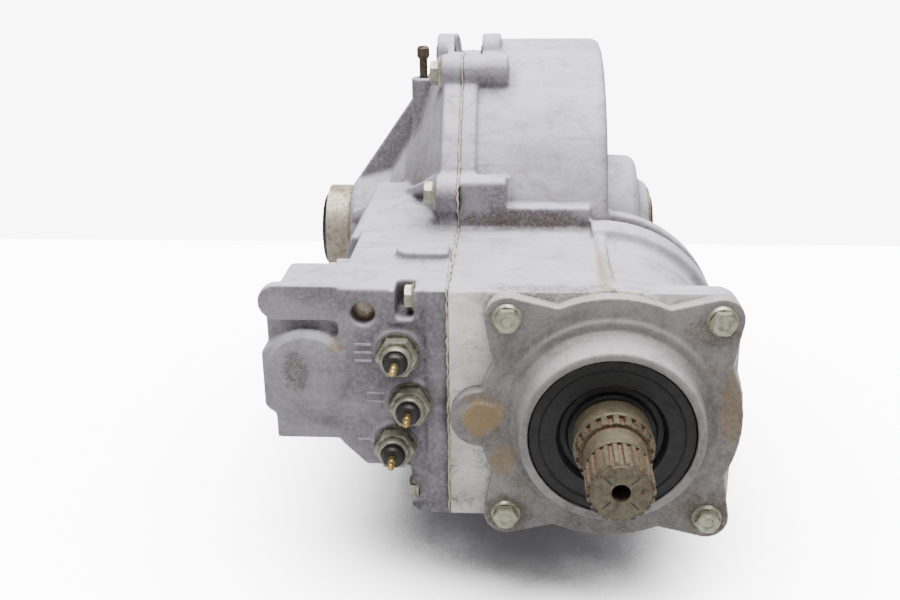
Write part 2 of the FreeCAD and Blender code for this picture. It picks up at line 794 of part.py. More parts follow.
def left_cover():
    outer = join([
        shift_box(), dome(), ear(*ear_left), foot_half(foot_left_x, left_face_x),
        block(left_face_x - flange_width, left_face_x, case_front_y, block_end_y, case_bottom_z,
              case_top_z),
        pad(), hump(), rod_z(breather_x, breather_y, breather_r, output_z + 60, breather_top_z),
    ] + [rod_x(y, z, bolt_boss_r, bolt_boss_left_x, left_face_x) for y, z in m10_places]
        + [gusset(a) for a in range(0, 360, 60)])
    front_room = block(left_face_x - flange_width + 2, left_face_x, inner_front_y, box_rear_y - box_wall,
                       case_bottom_z + case_wall, case_top_z - box_wall)
    hollow = remove(outer, [join([box_room(), front_room, dome_room()])])
    rail_boss = rod_y(rail_x, rail_z, rail_boss_r, inner_front_y, fork_start_y - sleeve_back - 1)
    web = block(box_left_x + 1, rail_x + rail_boss_r, rail_rear_web_y, rail_rear_web_y + rail_web,
                rail_z - rail_boss_r, case_top_z - 2)
    detent_boss = rod_x(detent_y, rail_z, detent_boss_r, detent_boss_x, box_left_x + 1)
    posts = [rod_x(y, z, post_r, left_flange_x, left_face_x) for y, z in m8_places]
    drum_boss = rod_y(selector_x, selector_z, drum_journal_r + 5, inner_front_y - 1, finger_y - 0.5)
    backing = notch_backing(ear_left[1] - flange_proud, left_face_x)
    solid = join([hollow, rail_boss, web, detent_boss, drum_boss, backing, bolt_pocket(3.0)] + posts)
    holes = [
        rod_y(rail_x, rail_z, rail_r + running_gap, rail_front_y - sleeve_back - 1,
              rail_rear_web_y + rail_web + 1),
        rod_y(selector_x, selector_z, drum_journal_r + running_gap, finger_y - drum_journal_length,
              drum_end_y + drum_journal_length + 1),
        rod_x(detent_y, rail_z, detent_ball_r + running_gap, detent_boss_x - 1, rail_x),
        rod_x(ear_y, ear_z, ear_bore_r, ear_left[0] - 1, ear_left[1] + 1),
        rod_z(breather_x, breather_y, 3.0, output_z + 80, breather_top_z + 1),
    ]
    holes += [rod_x(y, z, m10[0], bolt_boss_left_x - 1, left_face_x + 1) for y, z in m10_places]
    holes += [rod_x(y, z, m8[0], left_flange_x - 1, left_face_x + 1) for y, z in m8_places]
    holes += [rod_x(y, z, bolt_boss_r, bolt_boss_left_x - 24, bolt_boss_left_x) for y, z in m10_places]
    holes += [rod_x(y, z, m8[3] + 1, left_flange_x - 16, left_flange_x) for y, z in m8_places[1:]]
    holes += [rod_x(y, z, dowel_r, parting_x - dowel_length / 2, left_face_x + 1) for y,
              z in dowel_places]
    holes += [rod_y(x, z, switch_thread_r, case_front_y - 1, inner_front_y + 4) for x, z in switch_places]
    return remove(solid, holes + foot_holes() + [notch(), bolt_pocket(0.0)])


switch_places = [
    (selector_x + r * math.cos(math.radians(a)), selector_z + r * math.sin(math.radians(a)))
    for a, r in zip(switch_angles, switch_radii)
]


def case_sealant():
    outer = join([
        rod_x(output_y, output_z, housing_r + flange_proud, left_face_x, right_face_x),
        block(left_face_x, right_face_x, case_front_y, block_end_y, case_bottom_z, case_top_z),
    ])
    inner = join([
        rod_x(output_y, output_z, room_r, left_face_x, right_face_x),
        block(left_face_x, right_face_x, case_front_y + front_flange, box_rear_y - box_wall,
              case_bottom_z + case_wall + 4, case_top_z - case_wall),
    ])
    posts = [rod_x(y, z, post_r, left_face_x, right_face_x) for y, z in m8_places]
    holes = [rod_x(y, z, m10[0], left_face_x, right_face_x) for y, z in m10_places]
    holes += [rod_x(y, z, m8[0], left_face_x, right_face_x) for y, z in m8_places]
    holes += [rod_x(y, z, dowel_r, left_face_x, right_face_x) for y, z in dowel_places]
    backing = notch_backing(left_face_x, right_face_x)
    return remove(join([remove(outer, [inner]), backing] + posts), holes + [notch()])


def cover_web(x, z):
    # flanks that run from a bolt lobe to the round plate, along both outer tangents
    distance = math.hypot(x, z)
    lean = math.acos((cover_web_r - cover_lobe_r) / (distance - cover_web_reach))
    middle = math.atan2(z, x)
    points = []
    for reach, r in ((cover_web_reach, cover_web_r), (distance, cover_lobe_r)):
        for way in (-1, 1):
            angle = middle + way * lean
            points.append((reach * math.cos(middle) + r * math.cos(angle),
                           reach * math.sin(middle) + r * math.sin(angle)))
    low_a, low_b, high_a, high_b = points
    return plate_y([low_a, high_a, high_b, low_b], cover_front_y, case_front_y)


def front_cover():
    end_y = case_front_y
    lobes = [rod_y(x, z, cover_lobe_r, cover_front_y, end_y) for x, z in cover_bolt_places]
    side = rod_y(cover_side_lobe_x, 0, cover_side_lobe_r, cover_front_y, end_y)
    arm = block(cover_side_lobe_x, 0, cover_front_y, end_y, -cover_side_lobe_r + 2, cover_side_lobe_r - 2)
    webs = [cover_web(x, z) for x, z in cover_bolt_places]
    step = rod_y(0, 0, cover_step_r, cover_front_y - cover_step, end_y)
    plate = join([rod_y(0, 0, cover_r - 2, cover_front_y, end_y), side, arm, step] + lobes + webs)
    boss = turned([
        (boss_front_y, seal_outer_r), (boss_front_y, cover_boss_r - 1), (boss_front_y + 1, cover_boss_r),
        (cover_front_y - 4, cover_base_r - 1.5), (cover_front_y, cover_base_r + 3),
        (end_y, cover_base_r + 3),
        (end_y, spigot_r), (end_y + spigot_length, spigot_r),
        (end_y + spigot_length, front_bearing_outer_r),
        (bearing_y, front_bearing_outer_r), (bearing_y, front_bearing_outer_r - 5),
        (bearing_y - seal_stop, front_bearing_outer_r - 5), (bearing_y - seal_stop, seal_outer_r),
    ], input_axis, Y)
    side_pad = rod_y(cover_side_lobe_x, 0, cover_side_pad_r, cover_front_y - cover_step, cover_front_y)
    holes = [rod_y(0, 0, seal_outer_r, cover_front_y - cover_step - 1, end_y + 1)]
    holes += [rod_y(x, z, m8[0], cover_front_y - 1, end_y + 1) for x, z in cover_bolt_places]
    return join([remove(plate, holes), boss, side_pad])


def washer_ring(centre, axis, inner_r, outer_r, a0, a1):
    return turned([(a0, inner_r), (a0, outer_r), (a1, outer_r), (a1, inner_r)], centre, axis)


def output_seal(outer_face, inner_face):
    # rubber covered ring with a raised lip round the axle bore
    way = 1 if inner_face > outer_face else -1
    return turned([
        (outer_face, output_seal_bore_r + 2), (outer_face, output_seal_r - 3),
        (outer_face + way * 3, output_seal_r),
        (inner_face, output_seal_r), (inner_face, output_seal_r - 2.5),
        (outer_face + way * 6, output_seal_r - 2.5),
        (outer_face + way * 6, output_seal_bore_r + 4), (inner_face - way, output_seal_bore_r + 3),
        (inner_face - way, output_seal_bore_r), (outer_face + way * 2, output_seal_bore_r),
    ], output_axis, X)


def input_seal():
    # outer band, lower web, deep valley and the lip on the shaft's collar
    inner_r = collar_r + running_gap
    end = seal_y + seal_width
    return turned([
        (seal_y + 0.8, inner_r + 9), (seal_y + 0.8, seal_outer_r - 7), (seal_y, seal_outer_r - 6),
        (seal_y, seal_outer_r - 1), (seal_y + 1, seal_outer_r), (end, seal_outer_r),
        (end, seal_outer_r - 3),
        (seal_y + 7.5, seal_outer_r - 3), (seal_y + 7.5, inner_r + 5), (end - 1, inner_r + 4),
        (end - 1, inner_r),
        (seal_y + 1.5, inner_r), (seal_y + 1.5, inner_r + 2), (seal_y + 5, inner_r + 3.5),
        (seal_y + 5, inner_r + 6.5), (seal_y + 2, inner_r + 8),
    ], input_axis, Y)


def roller_bearing(centre, axis, start, width, bore_r, outer_r, count, way=1):
    # races and rollers of a taper bearing; way is the side on which the rollers are wider
    mid = start + width / 2
    tilt = math.radians(13.0) * way
    ring_r = (bore_r + outer_r) / 2
    roller_r = (outer_r - bore_r) * 0.2
    half = width * 0.34
    low_r, high_r = roller_r * 0.92, roller_r * 1.08
    along = (math.cos(tilt), math.sin(tilt))
    side = (-along[1], along[0])
    ends = [(mid + s * half * along[0], ring_r + s * half * along[1], r)
            for s, r in ((-1, low_r if way > 0 else high_r), (1, high_r if way > 0 else low_r))]

    def line(sign, stretch):
        points = [(a + sign * side[0] * (r + running_gap), b + sign * side[1] * (r + running_gap))
                  for a, b, r in ends]
        slope = (points[1][1] - points[0][1]) / (points[1][0] - points[0][0])
        return [(x, points[0][1] + slope * (x - points[0][0])) for x in stretch]

    inside = line(-1, (start, start + width))
    outside = line(1, (start, start + width))
    inner = turned([(start, bore_r), inside[0], inside[1], (start + width, bore_r)], centre, axis)
    outer = turned([(start, outer_r), outside[0], outside[1], (start + width, outer_r)], centre, axis)
    out = X if axis is not X else Y
    base = centre + axis * (-centre.dot(axis))
    first = base + axis * ends[0][0] + out * ends[0][1]
    last = base + axis * ends[1][0] + out * ends[1][1]
    roller = Part.makeCone(ends[0][2], ends[1][2], (last - first).Length, first, last - first)
    return inner, outer, Part.makeCompound(around(roller, count, centre, axis))


# input shaft, dog clutch and pinion shaft


def eased_rod(r, y0, y1):
    # room of a spline with both ends chamfered
    return turned([(y0, 0), (y0, r - spline_chamfer), (y0 + spline_chamfer, r + 0.1),
                   (y1 - spline_chamfer, r + 0.1), (y1, r - spline_chamfer), (y1, 0)], input_axis, Y)


def scribe(turn):
    # marking-out line on the shaft's front end
    line = block(tip_hole_r + 2, spline_root_r - 3, -1, scribe_depth, -scribe_width / 2, scribe_width / 2)
    line.rotate(input_axis, Y, turn)
    return line


def input_shaft():
    front = plate_y(star(spline_teeth, spline_root_r, spline_tip_r, 0.62, 0.4), 0.8, front_spline_length)
    front = front.common(eased_rod(spline_tip_r, 0, front_spline_length))
    rear_start = front_spline_length + neck_length
    rear_end = rear_start + rear_spline_length
    rear = plate_y(star(rear_spline_teeth, rear_spline_root_r, rear_spline_tip_r, 0.6, 0.46),
                   rear_start, rear_end)
    rear = rear.common(eased_rod(rear_spline_tip_r, rear_start, rear_end + spline_chamfer))
    nose_start = dog_y + dog_length
    core = turned([
        (0, 0), (0, spline_root_r - 1.2), (1.2, spline_root_r), (front_spline_length, spline_root_r),
        (front_spline_length, neck_r), (rear_start, neck_r), (rear_start, rear_spline_root_r),
        (rear_end, rear_spline_root_r), (rear_end, collar_r - 1), (rear_end + 1, collar_r),
        (bearing_y - 3, collar_r), (bearing_y - 3, front_bearing_bore_r - 1.5),
        (bearing_y, front_bearing_bore_r - 1.5), (bearing_y, front_bearing_bore_r),
        (bearing_end_y, front_bearing_bore_r), (bearing_end_y, shoulder_r), (dog_y, shoulder_r),
        (dog_y, dog_root_r - 2), (nose_start, dog_root_r - 2), (nose_start, nose_r),
        (nose_start + pilot_length, nose_r), (nose_start + pilot_length, 0),
    ], input_axis, Y)
    dog = plate_y(star(dog_teeth, dog_root_r, dog_tip_r, 0.56, 0.4), dog_y, nose_start)
    scribes = [scribe(turn) for turn in (45, 135, 225, 315)]
    return remove(join([core, front, rear, dog]), [rod_y(0, 0, tip_hole_r, -1, tip_hole_depth)] + scribes)


def dog_sleeve():
    share = dog_gap / (math.pi * dog_tip_r / dog_teeth)
    tube = turned([
        (sleeve_y, 0), (sleeve_y, sleeve_r - 1), (sleeve_y + 1, sleeve_r),
        (groove_mid_y - sleeve_groove_width / 2, sleeve_r),
        (groove_mid_y - sleeve_groove_width / 2, sleeve_groove_r),
        (groove_mid_y + sleeve_groove_width / 2, sleeve_groove_r),
        (groove_mid_y + sleeve_groove_width / 2, sleeve_r),
        (sleeve_y + sleeve_length - 1, sleeve_r), (sleeve_y + sleeve_length, sleeve_r - 1),
        (sleeve_y + sleeve_length, 0),
    ], input_axis, Y)
    gap = star(dog_teeth, dog_root_r + dog_gap, dog_tip_r + dog_gap, 0.56 + share, 0.4 + share)
    return remove(tube, [plate_y(gap, sleeve_y - 1, sleeve_y + sleeve_length + 1)])


def clutch_gear():
    disc = plate_y(star(dog_teeth, dog_root_r, dog_tip_r, 0.56, 0.4), clutch_y, clutch_end_y)
    return remove(disc, [rod_y(0, 0, pinion_front_r, clutch_y - 1, clutch_end_y + 1)])


# offset bevel pair: both cones run to one apex on the input axis, level with the axle line

mesh_apex = vec(0, output_y, 0)
mesh_ratio = ring_teeth / pinion_teeth
ring_mesh_r = math.hypot(mesh_reach, axle_drop)
skew = math.asin(axle_drop / ring_mesh_r)
tooth_pitch = 2 * math.pi * ring_mesh_r / ring_teeth * math.cos(skew)
pinion_mesh_r = tooth_pitch * pinion_teeth / (2 * math.pi)
cone_slope = pinion_mesh_r / mesh_reach
heel_reach = mesh_reach + mesh_half_face
toe_reach = mesh_reach - mesh_half_face
toe_share = toe_reach / heel_reach


def cone_frame(out):
    # pitch point at the heel, and the way that leaves the pinion's pitch cone
    heel = vec(0, output_y - heel_reach, 0) + out * (heel_reach * cone_slope)
    along = (heel - mesh_apex).normalize()
    normal = (out - along * out.dot(along)).normalize()
    return heel, normal


def pinion_shaft():
    heel_r = heel_reach * cone_slope
    toe_r = toe_reach * cone_slope
    heel, normal = cone_frame(X)
    core = turned([
        (dog_y + dog_length + 2, 0), (dog_y + dog_length + 2, pinion_front_r),
        (pinion_rear_y, pinion_front_r),
        (pinion_rear_y, pinion_rear_r), (neck_y, pinion_rear_r), (neck_y, pinion_neck_r),
        (neck_y + 3, pinion_neck_r), (neck_y + 3, heel_r - mesh_dedendum),
        (head_y, heel_r - mesh_dedendum),
        (head_end_y, toe_r - mesh_dedendum * toe_share),
        (head_end_y, 0),
    ], input_axis, Y)
    profile = pinion_profile(heel_r)
    one = tooth(mesh_apex, heel, normal, normal.cross(Y).normalize() * -1, profile, toe_share)
    teeth = around(one, pinion_teeth, input_axis, Y, 180.0 / pinion_teeth)
    bore = rod_y(0, 0, nose_r + pilot_wall, dog_y + dog_length + 1, dog_y + dog_length + pilot_length + 2)
    return remove(join([core] + teeth), [bore])


def pinion_profile(pitch_r):
    # involute flank as (height from the pitch line, half width) pairs
    base_r = pitch_r * math.cos(math.radians(mesh_pressure))
    start = math.radians(mesh_pressure)
    half = math.pi / (2 * pinion_teeth) - mesh_backlash / 2 / pitch_r
    points = []
    for height in (-mesh_dedendum - 0.6, -mesh_addendum * 0.75, 0.0, mesh_addendum * 0.5, mesh_addendum):
        r = pitch_r + height
        turn = math.acos(min(1.0, base_r / r))
        angle = half + (math.tan(start) - start) - (math.tan(turn) - turn)
        points.append((r * math.cos(angle) - pitch_r, r * math.sin(angle)))
    return points


def ring_gear():
    heel, normal = cone_frame(X * -1)
    toward = normal * -1
    half = tooth_pitch / 4 * heel_reach / mesh_reach - mesh_backlash / 2
    slope = math.tan(math.radians(mesh_pressure))
    profile = [(-mesh_dedendum - 0.6, half + (mesh_dedendum + 0.6) * slope), (0, half),
               (mesh_addendum * 0.9, half - mesh_addendum * 0.9 * slope)]
    one = tooth(mesh_apex, heel, toward, Z, profile, toe_share)
    heel_r = math.hypot(heel_reach, axle_drop)
    toe_r = math.hypot(toe_reach, axle_drop)
    heel_x = heel.x - mesh_dedendum
    toe_x = heel.x * toe_share - mesh_dedendum * toe_share
    blank = turned([
        (ring_back_x, ring_bore_r), (ring_back_x, heel_r - 3), (ring_back_x + 3, heel_r + 0.5),
        (heel_x, heel_r + 0.5), (toe_x, toe_r - 2), (toe_x, ring_bore_r),
    ], output_axis, X)
    holes = [rod_x(y, z, m10[0], ring_back_x - 1, ring_back_x + 12) for y, z in ring_bolt_spots]
    return remove(join([blank] + around(one, ring_teeth, output_axis, X)), holes)


ring_back_x = -heel_reach * cone_slope - mesh_dedendum - ring_back
ring_bolt_spots = ring_bolt_places(ring_bolt_circle_r,
                                   [360.0 * i / ring_bolt_count for i in range(ring_bolt_count)])

# differential gears: both pitch cones meet in the centre of the cross pin

diff_centre = vec(diff_x, output_y, output_z)
side_pitch_r = side_teeth * diff_module / 2
spider_pitch_r = spider_teeth * diff_module / 2
diff_reach = math.hypot(side_pitch_r, spider_pitch_r)
diff_toe = 1 - diff_face / diff_reach
side_back = spider_pitch_r + side_back_wall
spider_back = side_pitch_r + spider_back_wall


def bevel_gear(axis, out, count, own_r, mate_r, turn, back, bore_r, rear):
    # gear on an axis through the centre; heel circle at mate_r along it, back profile in (distance, radius)
    along = (axis * mate_r + out * own_r).normalize()
    normal = (out * mate_r - axis * own_r).normalize()
    half = math.pi * diff_module / 4 - diff_backlash / 2
    slope = math.tan(math.radians(22.5))
    sunk = diff_dedendum + root_sink
    profile = [(-sunk, half + sunk * slope * 0.6), (0, half),
               (diff_addendum, half - diff_addendum * slope)]
    heel = diff_centre + axis * mate_r + out * own_r
    one = tooth(diff_centre, heel, normal, axis.cross(out), profile, diff_toe)
    root = heel - normal * diff_dedendum
    root_a = (root - diff_centre).dot(axis)
    root_r = (root - diff_centre).dot(out)
    zero = diff_centre.dot(axis)
    low = diff_toe - land
    high = 1 + land
    blank = turned_out(axis, out, [
        (zero + root_a * low, bore_r), (zero + root_a * low, root_r * low),
        (zero + root_a * high, root_r * high),
        (zero + back, root_r * high),
    ] + [(zero + a, r) for a, r in rear])
    return join([blank] + around(one, count, diff_centre, axis, turn))


def turned_out(axis, out, points):
    corners = [diff_centre + axis * (a - diff_centre.dot(axis)) + out * r for a, r in points]
    return Part.Face(Part.makePolygon(corners + corners[:1])).revolve(diff_centre, axis, 360)


def side_gear(way):
    hub_end = side_back + side_hub_length
    gear = bevel_gear(X * way, Z, side_teeth, side_pitch_r, spider_pitch_r, 180.0 / side_teeth, side_back,
                      side_bore_r, [(side_back, side_hub_r), (hub_end, side_hub_r),
                                    (hub_end, side_bore_r)])
    spline = star(side_spline_teeth, side_bore_r, side_spline_r, 0.5, 0.4)
    end = diff_x + way * (side_back + side_hub_length + 1)
    return remove(gear, [spline_x(spline, min(diff_x, end), max(diff_x, end))])


def spider_gear(way):
    bore_r = cross_pin_r + running_gap
    return bevel_gear(Z * way, X, spider_teeth, spider_pitch_r, side_pitch_r, 0.0, spider_back, bore_r,
                      [(spider_back, bore_r)])


def thrust_washers():
    washers = []
    for way in (-1, 1):
        near = diff_x + way * (side_back + rotor_gap)
        far = near + way * washer_thickness
        washers.append(washer_ring(output_axis, X, side_hub_r + 0.3, side_pitch_r - 2, near, far))
        near = output_z + way * (spider_back + rotor_gap)
        far = near + way * washer_thickness
        washers.append(turned_out(Z, X, [(near, cross_pin_r + 0.3), (near, spider_pitch_r - 1),
                                         (far, spider_pitch_r - 1), (far, cross_pin_r + 0.3)]))
    return Part.makeCompound(washers)


cap_face_x = diff_x + cross_pin_r + 1.0
side_seat = side_back + rotor_gap + washer_thickness
spider_seat = spider_back + rotor_gap + washer_thickness
lock_height = carrier_outer_r - 3 * lock_r
lock_x = diff_x - cross_pin_r - 4 * lock_r


def carrier_solid():
    left_in = diff_x - side_seat
    right_in = diff_x + side_seat
    outer = turned([
        (carrier_left_end_x, 0), (carrier_left_end_x, carrier_journal_r),
        (carrier_left_x, carrier_journal_r),
        (carrier_left_x, carrier_journal_r + 6), (carrier_left_x + 8, carrier_journal_r + 8),
        (left_in - 6, carrier_outer_r - 8), (left_in, carrier_outer_r),
        (ring_back_x - carrier_flange, carrier_outer_r),
        (ring_back_x - carrier_flange, carrier_flange_r), (ring_back_x, carrier_flange_r),
        (ring_back_x, ring_bore_r), (cap_face_x + cap_flange, ring_bore_r),
        (cap_face_x + cap_flange, carrier_outer_r),
        (right_in, carrier_outer_r), (right_in + 5, carrier_outer_r - 8),
        (carrier_right_x - 4, carrier_journal_r + 7),
        (carrier_right_x, carrier_journal_r + 5), (carrier_right_x, carrier_journal_r),
        (carrier_right_end_x, carrier_journal_r), (carrier_right_end_x, 0),
    ], output_axis, X)
    inner_r = side_pitch_r + 4
    room = turned([
        (carrier_left_end_x - 1, 0), (carrier_left_end_x - 1, output_seal_bore_r),
        (left_in - side_hub_length - 2, output_seal_bore_r),
        (left_in - side_hub_length - 2, side_hub_r + running_gap), (left_in, side_hub_r + running_gap),
        (left_in, inner_r),
        (diff_x - spider_pitch_r - 2, inner_r), (diff_x - spider_pitch_r - 2, carrier_inner_r),
        (diff_x + spider_pitch_r + 2, carrier_inner_r), (diff_x + spider_pitch_r + 2, inner_r),
        (right_in, inner_r), (right_in, side_hub_r + running_gap),
        (right_in + side_hub_length + 2, side_hub_r + running_gap),
        (right_in + side_hub_length + 2, output_seal_bore_r),
        (carrier_right_end_x + 1, output_seal_bore_r),
        (carrier_right_end_x + 1, 0),
    ], output_axis, X)
    seats = [rod_z(diff_x, output_y, spider_pitch_r, min(a, b), max(a, b))
             for a, b in ((output_z + way * spider_seat,
                           output_z + way * (carrier_inner_r + 3)) for way in (-1, 1))]
    hollow = join([remove(outer, [room])] + seats)
    window = block(cap_face_x + cap_flange + 1, diff_x + side_seat - 2, output_y - carrier_flange_r,
                   output_y + carrier_flange_r,
                   output_z - 20, output_z + 20)
    cross = rod_z(diff_x, output_y, cross_pin_r, output_z - carrier_flange_r, output_z + carrier_flange_r)
    lock = rod_x(output_y, output_z + lock_height, lock_r, lock_x, cap_face_x)
    holes = [rod_x(y, z, m10[0], ring_back_x - carrier_flange - 1, ring_back_x + 1) for y,
             z in ring_bolt_spots]
    return remove(hollow, [window, cross, lock] + holes)


def cap_spots():
    middle_r = (carrier_outer_r + ring_bore_r) / 2
    return ring_bolt_places(middle_r, [45.0 * i + 22.5 for i in range(8)])


def carrier_halves():
    whole = carrier_solid()
    room = 2 * carrier_flange_r
    left_room = block(cap_face_x - 2 * room, cap_face_x, output_y - room, output_y + room,
                      output_z - room,
                      output_z + room)
    right_room = block(cap_face_x, cap_face_x + 2 * room, output_y - room, output_y + room,
                       output_z - room,
                       output_z + room)
    bolts = [rod_x(y, z, cap_bolt[0], cap_face_x - 14, cap_face_x + cap_flange + 1) for y,
             z in cap_spots()]
    return remove(whole.common(left_room), bolts), remove(whole.common(right_room), bolts)


def cross_pin():
    half = carrier_outer_r - 1
    pin = rod_z(diff_x, output_y, cross_pin_r, output_z - half, output_z + half)
    return remove(pin, [rod_x(output_y, output_z + lock_height, lock_r, diff_x - 20, diff_x + 20)])


# shift mechanism


def fork_ring():
    disc = rod_y(0, 0, fork_outer_r, fork_start_y, fork_start_y + fork_width)
    hole = rod_y(0, 0, sleeve_groove_r + 0.3, fork_start_y - 1, fork_start_y + fork_width + 1)
    half = block(-2 * fork_outer_r, -6, fork_start_y - 1, fork_start_y + fork_width + 1, -fork_outer_r,
                 fork_outer_r)
    return remove(disc, [hole]).common(half)


def shift_fork():
    end_y = fork_start_y + fork_width
    arm = plate_y([
        (rail_x + 2, rail_z + rail_hub_r - 1), (-30, fork_outer_r - 10), (-46, 30), (-54, 8),
        (-70, 20), (rail_x + 6, rail_z - rail_hub_r + 1),
    ], fork_start_y, end_y)
    hub = rod_y(rail_x, rail_z, rail_hub_r, fork_start_y, fork_start_y + fork_hub_length)
    inner = rod_y(0, 0, sleeve_groove_r + 0.3, fork_start_y - 1, end_y + 1)
    bore = rod_y(rail_x, rail_z, rail_r, fork_start_y - 1, fork_start_y + fork_hub_length + 1)
    return remove(join([fork_ring(), arm, hub]), [inner, bore])


def cam_follower():
    start = follower_y - follower_width / 2
    end = follower_y + follower_width / 2
    hub = rod_y(rail_x, rail_z, rail_hub_r, start, end)
    bar = block(rail_x - rail_hub_r + 0.5, rail_x - rail_hub_r + 0.5 + follower_thickness, start, end,
                selector_z - follower_pin_r - 1, rail_z)
    pin = rod_x(follower_y, selector_z, follower_pin_r, selector_x + drum_r - drum_groove_depth + 0.4,
                rail_x - rail_hub_r + 2)
    return remove(join([hub, bar, pin]), [rod_y(rail_x, rail_z, rail_r, start - 1, end + 1)])


def shift_rail():
    rail = rod_y(rail_x, rail_z, rail_r, rail_front_y, rail_front_y + rail_length)
    notches = []
    for travel in (-sleeve_back, 0.0, sleeve_forward):
        notch = turned([(detent_y - travel - 2.2, rail_r + 1), (detent_y - travel, rail_r - 1),
                        (detent_y - travel + 2.2, rail_r + 1)], vec(rail_x, 0, rail_z), Y)
        notches.append(notch)
    return remove(rail, notches)


groove_low_r = drum_r - drum_groove_depth
lead_per_radian = math.degrees(drum_lead)
groove_half = (follower_pin_r + side_gap) / math.cos(math.atan(lead_per_radian / groove_low_r))
groove_end = math.degrees(math.asin(follower_pin_r / groove_low_r)) + 3.0
groove_sections = 12


def groove_section(turn):
    # this turn of the drum is the one that meets the pin, on the drum's right side
    out = vec(math.cos(math.radians(turn)), 0, math.sin(math.radians(turn)))
    centre = vec(selector_x, follower_y + drum_lead * turn, selector_z)
    corners = [centre + out * r + Y * side for r, side in (
        (groove_low_r, -groove_half), (drum_r + 3, -groove_half), (drum_r + 3, groove_half),
        (groove_low_r, groove_half))]
    return Part.makePolygon(corners + corners[:1])


def drum_groove():
    # helical groove for the follower's pin
    low = finger_angle - switch_angles[0] - groove_end
    high = finger_angle - switch_angles[2] + groove_end
    turns = [low + (high - low) * i / groove_sections for i in range(groove_sections + 1)]
    return Part.makeLoft([groove_section(turn) for turn in turns], True, False)


def switch_finger():
    plate = block(drum_journal_r - 2, finger_reach, finger_y, drum_y, -finger_half, finger_half)
    ring = rod_y(0, 0, drum_journal_r + 5, finger_y, drum_y)
    finger = join([plate, ring])
    finger.rotate(input_axis, Y, -finger_angle)
    finger.translate(vec(selector_x, 0, selector_z))
    return finger


def selector_drum():
    solid = join([
        rod_y(selector_x, selector_z, drum_r, drum_y, drum_end_y),
        rod_y(selector_x, selector_z, drum_journal_r, finger_y - drum_journal_length + 1, drum_y),
        rod_y(selector_x, selector_z, drum_journal_r, drum_end_y, drum_end_y + drum_journal_length),
        switch_finger(),
    ])
    return remove(solid, [drum_groove()])


switch_front_y = case_front_y - switch_washer - switch_hex
thread_end_y = inner_front_y + 3.5


def switch_body(x, z):
    hexa = hexagon(switch_across, switch_hex, vec(x, case_front_y - switch_washer, z), Y * -1)
    profile = [
        (switch_front_y - crimp, insulator_r), (switch_front_y - crimp, crimp_r - 1),
        (switch_front_y - crimp + 1, crimp_r), (switch_front_y, crimp_r), (switch_front_y, insulator_r),
    ]
    collar = turned(profile, vec(x, 0, z), Y)
    thread = rod_y(x, z, switch_thread_r, case_front_y - switch_washer, thread_end_y)
    bore = rod_y(x, z, plunger_r + running_gap, thread_end_y - plunger_length, thread_end_y + 1)
    return remove(join([hexa, collar, thread]), [bore])


def switch_insulator(x, z):
    start = switch_front_y - crimp - insulator
    return turned([
        (start, terminal_r), (start, insulator_r - 2), (start + 1.5, insulator_r - 0.8),
        (switch_front_y - crimp, insulator_r - 0.8), (switch_front_y - crimp, insulator_r),
        (switch_front_y, insulator_r), (switch_front_y, terminal_r),
    ], vec(x, 0, z), Y)


def switch_terminal(x, z):
    start = switch_front_y - crimp - insulator
    tip = start - terminal_length
    return turned([
        (tip, 0), (tip, terminal_r * 0.5), (tip + 1.2, terminal_r), (tip + 3.5, terminal_r),
        (tip + 4.3, terminal_r * 0.7), (tip + 5.3, terminal_r * 0.7), (tip + 6, terminal_r),
        (switch_front_y, terminal_r), (switch_front_y, 0),
    ], vec(x, 0, z), Y)


def switch_plunger(x, z):
    start = thread_end_y - plunger_length + plunger_travel + 0.2
    end = finger_y - 0.3
    return turned([(start, 0), (start, plunger_r), (end - 1, plunger_r), (end, plunger_r - 1), (end, 0)],
                  vec(x, 0, z), Y)


def detent_parts():
    ball_x = rail_x - rail_r - running_gap - detent_ball_r
    ball = Part.makeSphere(detent_ball_r, vec(ball_x, detent_y, rail_z))
    spring_end = ball_x - detent_ball_r - detent_lift - 0.1
    coil = coil_x(spring_end - detent_spring_length, spring_end, detent_y, rail_z)
    plug_end = spring_end - detent_spring_length - 0.05
    plug = bolt(detent_screw, vec(detent_boss_x, detent_y, rail_z), X * -1, plug_end - detent_boss_x)
    return ball, coil, plug


def coil_x(x0, x1, y, z):
    # close wound spring, drawn as its turns
    wire_r = 0.5
    turns = 5
    spacing = (x1 - x0 - 2 * wire_r) / (turns - 1)
    rings = [Part.makeTorus(detent_ball_r - wire_r - 0.2, wire_r, vec(x0 + wire_r + i * spacing, y, z), X)
             for i in range(turns)]
    return Part.makeCompound(rings)


# build every node

front_inner, front_outer, front_rollers = roller_bearing(
    input_axis, Y, bearing_y, front_bearing_width, front_bearing_bore_r, front_bearing_outer_r, 14)
a_inner, a_outer, a_rollers = roller_bearing(
    input_axis, Y, pinion_front_y, pinion_front_width, pinion_front_r, pinion_front_outer_r, 13)
b_inner, b_outer, b_rollers = roller_bearing(
    input_axis, Y, pinion_rear_y, pinion_rear_width, pinion_rear_r, pinion_rear_outer_r, 13, 1)
l_inner, l_outer, l_rollers = roller_bearing(
    output_axis, X, carrier_left_end_x, carrier_bearing_width, carrier_journal_r,
    carrier_bearing_outer_r, 15, 1)
r_inner, r_outer, r_rollers = roller_bearing(
    output_axis, X, carrier_right_x, carrier_bearing_width, carrier_journal_r, carrier_bearing_outer_r,
    15, -1)

